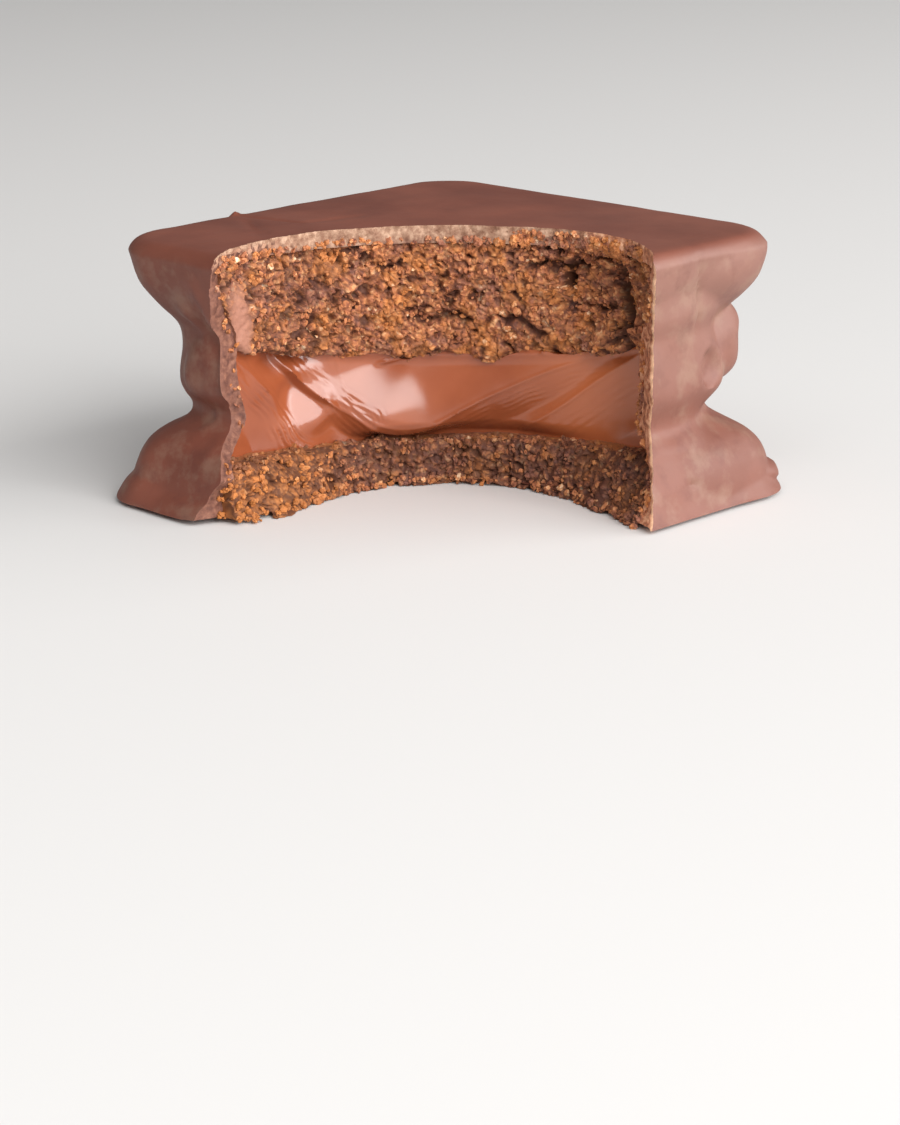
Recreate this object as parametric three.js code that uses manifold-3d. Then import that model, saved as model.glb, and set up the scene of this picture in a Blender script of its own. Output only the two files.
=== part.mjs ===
// A square alfajor with one corner bitten off: a thick domed biscuit on top, a thin one below,
// soft chocolate cream between them, and a milk chocolate coating round the whole stack.
// Millimetres, +Z up. The origin is the middle of the base; the bitten corner points to +X -Y.

import * as THREE from "three";
import { mergeVertices } from "three/addons/utils/BufferGeometryUtils.js";
import Module from "manifold-3d";

const wasm = await Module();
wasm.setup();

// ---- Driving dimensions ----
const HEIGHT = 29.3;
const COAT = 1.6; // coating on the sides
const COAT_TOP = 1.7;
const COAT_BASE = 0.7;
const GAP = 0.3; // left between two pieces that touch
const CORNER_SHARE = 0.235; // corner radius of the plan, as a share of its half side
const CROWN = 0.3; // how far the top falls from its middle to its edge
const FOOT_SPREAD = 1.5; // chocolate that pooled round the base
const FOOT_FADE = 2.6; // height over which that pool thins out

// Half width across the flats of the bare stack: plate, waist at the cream, dome, rim.
const STACK = [
  { z: 0.7, half: 24.2 },
  { z: 5.0, half: 23.7 },
  { z: 7.2, half: 22.5 },
  { z: 9.2, half: 19.8 },
  { z: 10.6, half: 19.3 },
  { z: 13.4, half: 20.2 },
  { z: 19.2, half: 20.2 },
  { z: 22.0, half: 22.0 },
  { z: 24.4, half: 23.3 },
  { z: 27.6, half: 24.1 },
];

// Where the cream meets the biscuits: height in the middle, and the rise at EDGE_REACH from it.
const EDGE_REACH = 23;
const LOWER_FACE = { middle: 4.8, rise: 0.8 };
const UPPER_FACE = { middle: 14.3, rise: 3.4 };

// The bite, in plan: a superellipse across the diagonal, with straight legs out of the corner.
const BITE = {
  centre: -1.1, // along the diagonal that runs across the bite
  halfWidth: 22,
  mouth: 13, // where the legs start, towards the bitten corner
  depth: 15.2, // in from there, at the top
  deeper: 2.4, // and how much more at the base
  power: 2.05,
  leg: 12,
};

// Low down the bite is narrower, so both ends of the lower biscuit stand out: a power curve in plan,
// which takes over from BITE on the way down from top. It has most of the say at the base.
const FOOT_BITE = { centre: -0.8, middle: -4, rise: 19.3, reach: 20, power: 2.2, top: 6.5, say: 0.95 };

// Lobes of chocolate that ran down the sides. Angle is round the axis from +X; width is half the
// lobe's width; up and down are its reach from its own height z; depth is how far it stands out.
const LOBES = [
  { angle: 46, z: 17.6, width: 6.5, up: 3.6, down: 6.2, depth: 2.7 },
  { angle: 22, z: 14.5, width: 14, up: 10, down: 8.5, depth: 2.9 },
  { angle: 36, z: 5.4, width: 9, up: 4.4, down: 4.6, depth: 0.6 },
  { angle: 41, z: 25.0, width: 9, up: 3.4, down: 4.2, depth: 0.6 },
  { angle: 250, z: 16.5, width: 5.5, up: 8.5, down: 6.5, depth: 1.4 },
  { angle: 237, z: 14.6, width: 5, up: 5, down: 3.6, depth: 0.8 },
  { angle: 262, z: 16.0, width: 7, up: 8, down: 7, depth: 1.0 },
];

// Thin flaps where chocolate ran out over the surface that the cookie set on.
const FLAPS = [
  { angle: 45, z: 2.6, width: 3.4, up: 1.3, down: 1.3, depth: 1.1 },
  { angle: 43, z: 1.0, width: 8.5, up: 1.9, down: 1.1, depth: 0.5 },
  { angle: 229, z: 1.0, width: 8, up: 2.4, down: 1.1, depth: 0.7 },
  { angle: 243, z: 0.9, width: 9, up: 1.6, down: 1.0, depth: 0.8 },
  { angle: 148, z: 1.1, width: 6.5, up: 1.5, down: 1.0, depth: 1.1 },
  { angle: 98, z: 1.0, width: 7.5, up: 1.3, down: 0.9, depth: 0.9 },
  { angle: 190, z: 1.1, width: 6.0, up: 1.4, down: 1.0, depth: 1.0 },
];

// The two sides away from the bite carry lobes laid out by a seeded draw.
const DRAW_SEED = 4711;
const DRAWN_LOBES = 20;
const DRAWN_FROM = 62;
const DRAWN_TO = 214;

// Creases that teeth left in the cream, on the unrolled bite: s runs along it from its middle, z up.
// Each is a smooth curve; height is its crest, left and right how far its flanks reach, going along.
const CREASES = [
  { points: [[-22.7, 17], [-17.6, 10], [-15.4, 5.8], [-11, 3.4]], height: 1.5, left: 4.5, right: 3 },
  { points: [[-17.6, 16], [-13.5, 11.1], [-8, 7.2]], height: 1.2, left: 3, right: 1.2 },
  {
    points: [[-10.6, 14.4], [-9.4, 9.4], [-5.6, 6.6], [-1, 6.6], [6, 10.1], [14, 13.9], [22.6, 16.8]],
    height: 2,
    left: 6,
    right: 1.8,
  },
  { points: [[9, 6.2], [13.4, 9.3], [18.1, 13.3], [23, 17.2]], height: 1.3, left: 1.4, right: 5 },
];
const CREASE_STEPS = 28;

// How far each layer lies behind the plane of the bite, and how rough the bite left it.
const UPPER_BITE = { recess: 0.3, crag: 0.8 };
const LOWER_BITE = { recess: 0, crag: 0.8 };
const CREAM_BITE = { recess: 2.4, lip: 1.5 };
const COAT_CRAG = 0.25;
const HOLLOW = { s: 17.5, z: 22, width: 7, height: 5, depth: 1.5 }; // a crumb fell out here
const CHIP = { s: -31, width: 9, top: 3.4, depth: 2.4 }; // the coating's foot broke further back here

// ---- How finely each surface is divided ----
const OUTER = { turns: 108, steps: 17 };
const INNER = { turns: 72, steps: 12 };
const FACE_CELLS = 9;
const COAT_CUT = { columns: 64, rows: 18 };
const UPPER_CUT = { columns: 76, rows: 16 };
const CREAM_CUT = { columns: 80, rows: 16 };
const LOWER_CUT = { columns: 76, rows: 9 };
const CLEAR = 5; // how far a cutting block runs past what it cuts
const BLOCK_WIDTH = 76; // wider than the cookie

// ---- Small helpers ----

// The same generator gives the same draw wherever the model is built.
function parkMiller(seed) {
  const modulus = 2147483647;
  let state = seed;
  return (low, high) => {
    state = (state * 16807) % modulus;
    return low + ((high - low) * (state - 1)) / (modulus - 1);
  };
}

// A smooth curve through stations given as [x, y] pairs, with slopes from their neighbours.
function smoothThrough(stations, x) {
  const last = stations.length - 1;
  const slope = (i) => {
    const [a, b] = [stations[Math.max(i - 1, 0)], stations[Math.min(i + 1, last)]];
    return (b[1] - a[1]) / (b[0] - a[0]);
  };
  let i = 0;
  while (i < last - 1 && x > stations[i + 1][0]) i++;
  const [[x0, y0], [x1, y1]] = [stations[i], stations[i + 1]];
  const span = x1 - x0;
  const t = THREE.MathUtils.clamp((x - x0) / span, 0, 1);
  const rise = y1 - y0;
  const bend0 = slope(i) * span - rise;
  const bend1 = -slope(i + 1) * span + rise;
  return y0 + t * rise + t * (1 - t) * ((1 - t) * bend0 + t * bend1);
}

const stations = STACK.map(({ z, half }) => [z, half]);
const stackHalf = (z) => smoothThrough(stations, z);

// A rounded square of half side 1, as its reach from the middle at an angle.
function planReach(angle) {
  const [c, s] = [Math.abs(Math.cos(angle)), Math.abs(Math.sin(angle))];
  const [long, short] = [Math.max(c, s), Math.min(c, s)];
  const straight = 1 - CORNER_SHARE;
  if (short / long <= straight) return 1 / long;
  const k = straight * (long + short);
  return k + Math.sqrt(k * k - 2 * straight * straight + CORNER_SHARE * CORNER_SHARE);
}

function drawnLobes() {
  const draw = parkMiller(DRAW_SEED);
  return Array.from({ length: DRAWN_LOBES }, (_, i) => ({
    angle: DRAWN_FROM + ((DRAWN_TO - DRAWN_FROM) * (i + draw(0.1, 0.9))) / DRAWN_LOBES,
    z: draw(9, 21),
    width: draw(3.6, 8),
    up: draw(3, 7),
    down: draw(2.6, 5.5),
    depth: draw(0.8, 2.6),
  }));
}

const rimHalf = stackHalf(HEIGHT) + COAT;
const lobes = [...LOBES, ...drawnLobes(), ...FLAPS].map((lobe) => {
  const angle = THREE.MathUtils.degToRad(lobe.angle);
  const reach = rimHalf * planReach(angle);
  return { ...lobe, x: reach * Math.cos(angle), y: reach * Math.sin(angle) };
});

// How far the lobes stand out at an angle and a height: a soft maximum, so creases stay between them.
function lobeRise(angle, z) {
  const reach = rimHalf * planReach(angle);
  const [x, y] = [reach * Math.cos(angle), reach * Math.sin(angle)];
  let sum = 0;
  for (const lobe of lobes) {
    const across = Math.hypot(x - lobe.x, y - lobe.y) / lobe.width;
    const along = (z - lobe.z) / (z > lobe.z ? lobe.up : lobe.down);
    const e = across * across + along * along;
    if (e < 1) sum += (lobe.depth * (1 - e * e) ** 2) ** 4;
  }
  return sum ** 0.25;
}

const foot = (z) => FOOT_SPREAD * Math.exp(-z / FOOT_FADE);

const faceHeight = (face, x, y) => face.middle + (face.rise * (x * x + y * y)) / EDGE_REACH ** 2;

// ---- Solids ----

function toSolid(geometry) {
  geometry.deleteAttribute("normal");
  geometry.deleteAttribute("uv");
  const merged = mergeVertices(geometry, 1e-4);
  const mesh = { numProp: 3, vertProperties: merged.attributes.position.array };
  return new wasm.Manifold(new wasm.Mesh({ ...mesh, triVerts: new Uint32Array(merged.index.array) }));
}

function toMesh(name, solid, material) {
  const mesh = solid.getMesh();
  const geometry = new THREE.BufferGeometry();
  geometry.setAttribute("position", new THREE.BufferAttribute(mesh.vertProperties, 3));
  geometry.setIndex(new THREE.BufferAttribute(mesh.triVerts, 1));
  geometry.computeVertexNormals();
  const made = new THREE.Mesh(geometry, material);
  made.name = name;
  return made;
}

// A lathe turned from a profile of [half width, z] and then squared off in plan. The turns are
// crowded towards the corners, where the plan bends.
const CROWDING = 0.1;

function squaredLathe(profile, turns, rise = () => 0) {
  const points = profile.map(([r, z]) => new THREE.Vector2(r, z));
  const geometry = new THREE.LatheGeometry(points, turns).rotateX(Math.PI / 2);
  const position = geometry.attributes.position;
  for (let i = 0; i < position.count; i++) {
    const [x, y, z] = [position.getX(i), position.getY(i), position.getZ(i)];
    const turned = Math.atan2(y, x);
    const angle = turned + CROWDING * Math.sin(4 * turned);
    const flat = Math.hypot(x, y);
    const reach = flat < 1e-6 ? 0 : flat * planReach(angle) + rise(angle, z);
    position.setXYZ(i, reach * Math.cos(angle), reach * Math.sin(angle), z);
  }
  return toSolid(geometry);
}

// The coated cookie from outside: base, foot, side, rounded top edge and crowned top.
function outside() {
  const [baseInset, lowest] = [2.2, 0.5];
  const shoulder = HEIGHT - CROWN - COAT_TOP;
  const profile = [[0, 0], [rimHalf - baseInset, 0]];
  for (let i = 0; i <= OUTER.steps; i++) {
    const z = lowest + ((shoulder - lowest) * i) / OUTER.steps;
    profile.push([stackHalf(z) + COAT + foot(z), z]);
  }
  for (const lift of [35, 65]) {
    const a = THREE.MathUtils.degToRad(lift);
    profile.push([rimHalf - COAT_TOP * (1 - Math.cos(a)), shoulder + COAT_TOP * Math.sin(a)]);
  }
  for (const share of [0.93, 0.62, 0.3]) {
    profile.push([rimHalf * share, HEIGHT - CROWN * share * share]);
  }
  profile.push([0, HEIGHT]);
  return squaredLathe(profile, OUTER.turns, lobeRise);
}

// The bare stack, shrunk by an inset all over: the coating's inside, and what fills it.
function stack(inset) {
  const [low, high] = [COAT_BASE + inset, HEIGHT - CROWN - COAT_TOP - inset];
  const profile = [[0, low]];
  for (let i = 0; i <= INNER.steps; i++) {
    const z = low + ((high - low) * i) / INNER.steps;
    profile.push([stackHalf(z) - inset, z]);
  }
  profile.push([0, high]);
  return squaredLathe(profile, INNER.turns);
}

// Everything between two curved faces, as a block wider than the cookie.
function between(lowFace, highFace) {
  const geometry = new THREE.BoxGeometry(BLOCK_WIDTH, BLOCK_WIDTH, 1, FACE_CELLS, FACE_CELLS, 1);
  const position = geometry.attributes.position;
  for (let i = 0; i < position.count; i++) {
    const face = position.getZ(i) > 0 ? highFace : lowFace;
    position.setZ(i, face(position.getX(i), position.getY(i)));
  }
  return toSolid(geometry);
}

// ---- The bite ----

// Plan of the bite at the top. Its x runs across the bite and its y towards the bitten corner.
class BiteLine extends THREE.Curve {
  getPoint(t, target = new THREE.Vector2()) {
    const legShare = 0.12;
    const side = 2 * t - 1;
    const over = Math.max(0, Math.abs(side) - (1 - legShare)) / legShare;
    const turn = THREE.MathUtils.clamp(side / (1 - legShare), -1, 1) * (Math.PI / 2);
    const across = Math.abs(Math.sin(turn)) ** (2 / BITE.power);
    const inward = Math.max(0, Math.cos(turn)) ** (2 / BITE.power);
    return target.set(
      BITE.centre + Math.sign(turn) * BITE.halfWidth * across,
      BITE.mouth - BITE.depth * inward + over * BITE.leg,
    );
  }
}

const biteLine = new BiteLine();
biteLine.arcLengthDivisions = 800;
const biteLength = biteLine.getLength();

const fromDiagonal = ({ x, y }) => [(x + y) * Math.SQRT1_2, (x - y) * Math.SQRT1_2];

// How far towards the bitten corner a point of the bite lies at a height, from where it is at the top.
function towardsCorner({ x, y }, z) {
  const deep = y - BITE.deeper * (1 - z / HEIGHT);
  const out = Math.abs(x - FOOT_BITE.centre) / FOOT_BITE.reach;
  const low = FOOT_BITE.middle + FOOT_BITE.rise * out ** FOOT_BITE.power;
  const share = FOOT_BITE.say * THREE.MathUtils.clamp(1 - z / FOOT_BITE.top, 0, 1);
  return deep + share * Math.max(0, low - deep);
}

// A block that takes away the bitten corner between two heights. recess(s, z, column, row) is how
// far its face goes in behind the bite's plane.
function biteTool(low, high, { columns, rows }, recess) {
  const geometry = new THREE.BoxGeometry(1, 1, 1, columns, 1, rows);
  const position = geometry.attributes.position;
  for (let i = 0; i < position.count; i++) {
    const share = position.getX(i);
    const row = Math.round((position.getZ(i) + 0.5) * rows);
    const z = low + ((high - low) * row) / rows;
    const spot = new THREE.Vector2(share * 2 * BLOCK_WIDTH, BLOCK_WIDTH);
    if (position.getY(i) > 0) {
      const column = Math.round((share + 0.5) * columns);
      biteLine.getPointAt(share + 0.5, spot);
      const tangent = biteLine.getTangentAt(share + 0.5);
      const inward = recess(share * biteLength, z, column, row);
      spot.x += tangent.y * inward;
      spot.y -= tangent.x * inward;
      spot.y = towardsCorner(spot, z);
    }
    position.setXYZ(i, ...fromDiagonal(spot), z);
  }
  return toSolid(geometry);
}

// Roughness for a grid of a bite's face, one draw for each of its points.
function cragged(seed, { columns, rows }, depth) {
  const draw = parkMiller(seed);
  const size = (columns + 1) * (rows + 1);
  const rough = Array.from({ length: size }, () => draw(-0.5, 0.5) * depth);
  return (column, row) => rough[row * (columns + 1) + column];
}

function hollowDepth(s, z) {
  const e = ((s - HOLLOW.s) / HOLLOW.width) ** 2 + ((z - HOLLOW.z) / HOLLOW.height) ** 2;
  return e < 1 ? HOLLOW.depth * (1 - e * e) : 0;
}

function chipDepth(s, z) {
  const along = Math.max(0, 1 - ((s - CHIP.s) / CHIP.width) ** 2);
  return CHIP.depth * along * Math.max(0, 1 - z / CHIP.top);
}

const creases = CREASES.map((crease) => {
  const curve = new THREE.SplineCurve(crease.points.map(([s, z]) => new THREE.Vector2(s, z)));
  return { ...crease, curve, spots: curve.getPoints(CREASE_STEPS) };
});

// Height of the highest crease at a spot of the unrolled bite: a sharp crest between two scoops.
function creaseRise(s, z) {
  const here = new THREE.Vector2(s, z);
  let rise = 0;
  for (const { curve, spots, height, left, right } of creases) {
    const nearest = spots.reduce((a, b) => (b.distanceTo(here) < a.distanceTo(here) ? b : a));
    const t = spots.indexOf(nearest) / CREASE_STEPS;
    const off = here.clone().sub(nearest);
    const reach = curve.getTangent(t).cross(off) > 0 ? left : right;
    const fall = Math.max(0, 1 - off.length() / reach) ** 2;
    const taper = Math.min(1, 0.3 + 3 * Math.min(t, 1 - t));
    rise = Math.max(rise, height * taper * fall);
  }
  return rise;
}

// The cream is hollowed between the biscuits, comes forward to meet both, and carries the creases.
function creamRecess(s, z) {
  const middle = (LOWER_FACE.middle + UPPER_FACE.middle) / 2;
  const reach = (UPPER_FACE.middle - LOWER_FACE.middle) / 2;
  const lip = Math.min(1, ((z - middle) / reach) ** 2);
  return CREAM_BITE.recess - CREAM_BITE.lip * lip - creaseRise(s, z) * (1 - 0.5 * lip);
}

// ---- The four pieces ----

function pieces() {
  const bare = stack(GAP);
  const face = (which, shift) => (x, y) => faceHeight(which, x, y) + shift;
  const level = (z) => () => z;
  const top = HEIGHT + CLEAR;

  const coatCrag = cragged(11, COAT_CUT, COAT_CRAG);
  const upperCrag = cragged(22, UPPER_CUT, UPPER_BITE.crag);
  const lowerCrag = cragged(33, LOWER_CUT, LOWER_BITE.crag);
  const coatTool = biteTool(-CLEAR, top, COAT_CUT, (s, z, i, j) => coatCrag(i, j) + chipDepth(s, z));
  const upperTool = biteTool(UPPER_FACE.middle - 1, HEIGHT, UPPER_CUT, (s, z, i, j) =>
    UPPER_BITE.recess + upperCrag(i, j) + hollowDepth(s, z));
  const creamTool = biteTool(LOWER_FACE.middle - 1, UPPER_FACE.middle + CLEAR, CREAM_CUT, creamRecess);
  const lowerTool = biteTool(-1, LOWER_FACE.middle + 2, LOWER_CUT, (s, z, i, j) =>
    LOWER_BITE.recess + lowerCrag(i, j));

  const upper = between(face(UPPER_FACE, GAP / 2), level(top));
  const cream = between(face(LOWER_FACE, GAP / 2), face(UPPER_FACE, -GAP / 2));
  const lower = between(level(-CLEAR), face(LOWER_FACE, -GAP / 2));
  return {
    coating: outside().subtract(stack(0)).subtract(coatTool),
    upper_biscuit: bare.intersect(upper).subtract(upperTool),
    filling: bare.intersect(cream).subtract(creamTool),
    lower_biscuit: bare.intersect(lower).subtract(lowerTool),
  };
}

const MATERIALS = {
  coating: { color: 0x74483a, roughness: 0.42 },
  upper_biscuit: { color: 0xa4673f, roughness: 0.95 },
  filling: { color: 0xa65e3d, roughness: 0.22 },
  lower_biscuit: { color: 0x965a35, roughness: 0.95 },
};

const alfajor = new THREE.Group();
for (const [name, solid] of Object.entries(pieces())) {
  alfajor.add(toMesh(name, solid, new THREE.MeshStandardMaterial(MATERIALS[name])));
}

// The lobes are uneven, so the whole is moved until the origin is the middle of its base.
const extent = new THREE.Box3().setFromObject(alfajor);
const middle = extent.getCenter(new THREE.Vector3());
alfajor.position.set(-middle.x, -middle.y, -extent.min.z);

export default alfajor;
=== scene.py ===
"""The looks of a bitten alfajor: chocolate coating, two crumbly biscuits and soft cream between them.

Shapes are worked out in millimetres, with the same named sizes as the solids of the frame, and turned
into metres when a mesh is made. The origin is then the middle of the base, and +Z is up.
"""

import math

import bmesh
import bpy
import numpy as np
from mathutils import Matrix, Vector
from mathutils.kdtree import KDTree


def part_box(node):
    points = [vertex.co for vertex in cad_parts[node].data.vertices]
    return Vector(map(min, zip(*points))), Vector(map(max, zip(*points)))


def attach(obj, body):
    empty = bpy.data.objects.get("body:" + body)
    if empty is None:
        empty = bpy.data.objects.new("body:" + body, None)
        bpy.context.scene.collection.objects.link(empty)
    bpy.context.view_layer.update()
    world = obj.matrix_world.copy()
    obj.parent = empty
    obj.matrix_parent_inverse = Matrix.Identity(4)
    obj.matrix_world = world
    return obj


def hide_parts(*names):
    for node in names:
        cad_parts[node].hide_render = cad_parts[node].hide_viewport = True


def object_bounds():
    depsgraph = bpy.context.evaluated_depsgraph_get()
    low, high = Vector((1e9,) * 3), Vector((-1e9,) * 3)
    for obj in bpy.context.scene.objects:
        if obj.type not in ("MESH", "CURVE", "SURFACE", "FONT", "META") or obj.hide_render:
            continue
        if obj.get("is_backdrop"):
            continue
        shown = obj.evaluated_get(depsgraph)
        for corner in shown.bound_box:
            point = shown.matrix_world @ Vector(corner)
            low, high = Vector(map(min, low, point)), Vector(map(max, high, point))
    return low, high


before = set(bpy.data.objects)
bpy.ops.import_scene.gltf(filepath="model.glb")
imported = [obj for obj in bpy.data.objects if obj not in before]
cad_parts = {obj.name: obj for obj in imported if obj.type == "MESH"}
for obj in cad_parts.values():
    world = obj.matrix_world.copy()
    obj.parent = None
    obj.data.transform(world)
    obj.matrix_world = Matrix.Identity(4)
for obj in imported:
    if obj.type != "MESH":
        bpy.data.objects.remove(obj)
cad_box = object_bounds()

MM = 0.001

# ---- Driving dimensions, as in the solids, in millimetres ----
HEIGHT = 29.3
COAT = 1.6
COAT_TOP = 1.7
COAT_BASE = 0.7
CORNER_SHARE = 0.235
CROWN = 0.3
FOOT_SPREAD = 1.5
FOOT_FADE = 2.6
CROWDING = 0.1
BASE_INSET = 2.2
LOWEST = 0.5  # where the side starts, above the base's rounded rim
SHOULDER = HEIGHT - CROWN - COAT_TOP

# Half width across the flats of the bare stack, as [z, half].
STACK = [
    [0.7, 24.2],
    [5.0, 23.7],
    [7.2, 22.5],
    [9.2, 19.8],
    [10.6, 19.3],
    [13.4, 20.2],
    [19.2, 20.2],
    [22.0, 22.0],
    [24.4, 23.3],
    [27.6, 24.1],
]

# Where the cream meets the biscuits: height in the middle, and the rise at EDGE_REACH from it.
EDGE_REACH = 23
# Waves, here and below, are each a height, the distance over which it changes, and a seed.
LOWER_FACE = {"middle": 4.8, "rise": 0.8, "waves": [(0.35, 3.6, 7), (0.2, 1.4, 8)]}
UPPER_FACE = {"middle": 14.3, "rise": 3.4, "waves": [(0.65, 3.4, 5), (0.4, 1.5, 6)]}
# How far, out of sight, two layers run into each other, and biscuit and cream into the coating.
LAP = 0.1
CRUMB_LAP = 0.06
CREAM_LAP = 0.05

# The bite, in plan: a superellipse across the diagonal, with straight legs out of the corner.
BITE_CENTRE = -1.1
BITE_HALF_WIDTH = 22
BITE_MOUTH = 13
BITE_DEPTH = 15.2
BITE_DEEPER = 2.4
BITE_POWER = 2.05
BITE_LEG = 12
BITE_LEG_SHARE = 0.12
BITE_STEPS = 8001
# Low down the bite is narrower: a power curve in plan, which takes over on the way down from top.
FOOT_BITE = {"centre": -0.8, "middle": -4, "rise": 19.3, "reach": 20, "power": 2.2, "top": 6.5, "say": 0.95}
FOOT_EASE = 0.24  # how gently it takes over, as a share of top

# Lobes of chocolate that ran down the sides: angle, z, width, up, down, depth.
LOBES = [
    (46, 17.6, 6.5, 3.6, 6.2, 2.7),
    (22, 14.5, 14, 10, 8.5, 2.9),
    (36, 5.4, 9, 4.4, 4.6, 0.6),
    (41, 25.0, 9, 3.4, 4.2, 0.6),
    (250, 16.5, 5.5, 8.5, 6.5, 1.4),
    (237, 14.6, 5, 5, 3.6, 0.8),
    (262, 16.0, 7, 8, 7, 1.0),
]
SOFT_MAX = 4  # the power in a soft maximum of several rises
DRAW_SEED = 4711
DRAWN_LOBES = 20
DRAWN_FROM = 62
DRAWN_TO = 214
DRAWN_ASIDE = (0.1, 0.9)
DRAWN_RANGES = [(9, 21), (3.6, 8), (3, 7), (2.6, 5.5), (0.8, 2.6)]  # of z, width, up, down and depth

# Thin flaps where chocolate ran out over the surface that the cookie set on.
FLAPS = [
    (45, 2.6, 3.4, 1.3, 1.3, 1.1),
    (43, 1.0, 8.5, 1.9, 1.1, 0.5),
    (229, 1.0, 8, 2.4, 1.1, 0.7),
    (243, 0.9, 9, 1.6, 1.0, 0.8),
    (148, 1.1, 6.5, 1.5, 1.0, 1.1),
    (98, 1.0, 7.5, 1.3, 0.9, 0.9),
    (190, 1.1, 6.0, 1.4, 1.0, 1.0),
]

# Creases in the cream, on the unrolled bite: s runs along it from its middle, and z is the height.
# Height is a crest's, and left and right are how far its flanks reach, each at even steps from the
# curve's start to its end. Strands are the fine ridges beside it: how high, how far apart, and from
# where to where.
CREASES = [
    {
        "points": [(-22.7, 17), (-17.6, 10), (-15.4, 5.8), (-11, 3.4)],
        "height": (1.2, 1.3, 1.3, 1.1),
        "left": (3.2, 3.8, 4.4, 4.0),
        "right": (3, 3, 3.4, 3),
        "strands": (0.26, 0.62, -2.6, 1.4),
    },
    {
        "points": [(-17.6, 16), (-13.5, 11.1), (-8, 7.2)],
        "height": (1.5, 1.3, 0.6),
        "left": (3.2, 3.0, 2.6),
        "right": (0.4, 0.45, 0.8),
        "strands": (0.2, 0.62, 0.2, 2.8),
    },
    {
        "points": [(-10.6, 14.4), (-9.4, 9.4), (-5.6, 6.6), (-1, 6.6), (6, 10.1), (14, 13.9), (22.6, 16.8)],
        "height": (1.3, 2.0, 2.5, 2.3, 1.9, 1.5, 1.2),
        "left": (7, 7.5, 8, 8, 7, 6, 5),
        "right": (4.0, 3.0, 1.0, 1.1, 2.6, 4, 4.5),
        "strands": (0.12, 0.55, -3.2, -0.2),
    },
    {
        "points": [(9, 6.2), (13.4, 9.3), (18.1, 13.3), (23, 17.2)],
        "height": (0.7, 1.0, 1.4, 1.5),
        "left": (1.2, 1.2, 1.4, 1.6),
        "right": (5, 5, 5, 5),
        "strands": (0.06, 0.8, -4.0, -0.4),
    },
]
CREASE_STEPS = 160
CREASE_BLEND = 1.1  # over how far a flank turns from following one stretch of its crest to the next
FLANK_POWER = 1.15  # nearly straight flanks, so that a scoop mirrors a window as one patch
CREASE_END = {"share": 0.14, "loses": 0.7}  # over what share of its length a crease fades, and how far
CREST_LIP = {"height": 0.13, "width": 0.2}
# The waves along the strands, sideways and up, and how evenly high they are without these.
STRAND_BENDS = [(0.25, 1.9, 72)]
STRAND_LUMPS = [(0.8, 1.2, 73)]
STRAND_EVEN = 0.6
# How quickly strands rise from their bed's sides and ends, how sharp a ridge is, and what is level.
STRAND_RISE = {"sides": 1.6, "ends": 4, "power": 0.7, "level": 0.6}

# Grids, here and below, say how far from the bite's middle they are fine, their cell, and their lowest
# and highest z.
CREAM_GRID = (30, 0.16, 3.4, 19.6)
CREAM_RECESS = 2.3
CREAM_JUT = 0.2  # how much of the foot that stands out below the cream follows
CREAM_WAVES = [(0.04, 2.8, 71)]
# How far the cream turns out where it meets the biscuits, and from how far away.
CREAM_LIPS = {"upper": 0.4, "upper_reach": 1.2, "lower": 0.2, "lower_reach": 2.6}
# Between these places along the bite the cream is eaten away above the lower biscuit. Ends and fade
# say how far it takes at each place, and down from the top, to reach its full depth.
UNDERCUT = {"from": -9.5, "to": 18.5, "ends": (3, 9), "top": 7.0, "fade": 1.6, "depth": 1.4, "power": 1.5}
# Scoops whose surface is turned: where, how wide and high, and how steeply up and along the bite.
CREAM_TILTS = [
    {"s": -14.2, "z": 9.9, "width": 3.0, "height": 3.0, "up": 0.34, "along": 0.45},
    {"s": -6.4, "z": 11.0, "width": 4.5, "height": 4.0, "up": 0.1, "along": 0},
]
# A deep hole in the cream under the upper biscuit.
CREAM_PIT = {"s": -16.0, "z": 15.6, "width": 2.6, "height": 1.7, "depth": 1.6}
# From here on the cream falls back from the bite's plane, up to the reach where it is this deep.
CREAM_END = {"from": 12, "to": 25, "depth": 3.2, "power": 1.5}
# Small ridges on the cream. Strokes, here and below, are each a width, a height and a path.
CREAM_STROKES = [
    (0.28, 0.45, [(-6.2, 13.6), (-4.4, 14.1), (-2.4, 15.2)]),
    (0.16, 0.35, [(11.0, 15.0), (11.6, 15.6), (12.6, 15.9)]),
    (0.25, 0.25, [(21.6, 12.6), (22.0, 10.2), (22.3, 7.6)]),
    (0.22, 0.3, [(23.0, 12.8), (23.2, 10.4), (23.6, 7.8)]),
]
# A hollow in the upper biscuit's crumb.
HOLLOW = {"s": 17.5, "z": 22, "width": 7, "height": 5, "depth": 1.5}
# Where the foot of the coating is broken away at the bite's far end, deeper than in the solids.
CHIP = {"s": -26, "width": 9, "top": 5.0, "depth": 7.0}
CHIP_IN_CRUMB = 0.42  # how much of it the biscuit behind lost as well

# ---- Finer forms than the solids have ----

# Strokes on the coating: down its sides, by angle and height, and on its top, by x and y.
SIDE_STROKES = [
    (0.28, -0.36, [(23.8, 28.4), (26.7, 23.9), (27.8, 19.0)]),
    (1.1, 0.5, [(244.0, 25.6), (247.8, 15.3), (244.2, 6.4)]),
    (0.9, 0.35, [(236.7, 22.8), (238.0, 18.0)]),
    (0.35, -0.25, [(20.5, 4.0), (23.0, 3.5)]),
]
TOP_STROKES = [
    (0.4, -0.2, [(-25.2, -8.6), (-14.7, -7.4), (-12.5, 1.0)]),
    (0.5, -0.22, [(-22.0, -9.0), (-11.7, -15.6)]),
    (0.7, 0.55, [(-25.4, -8.2), (-24.4, -7.9)]),
]
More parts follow.
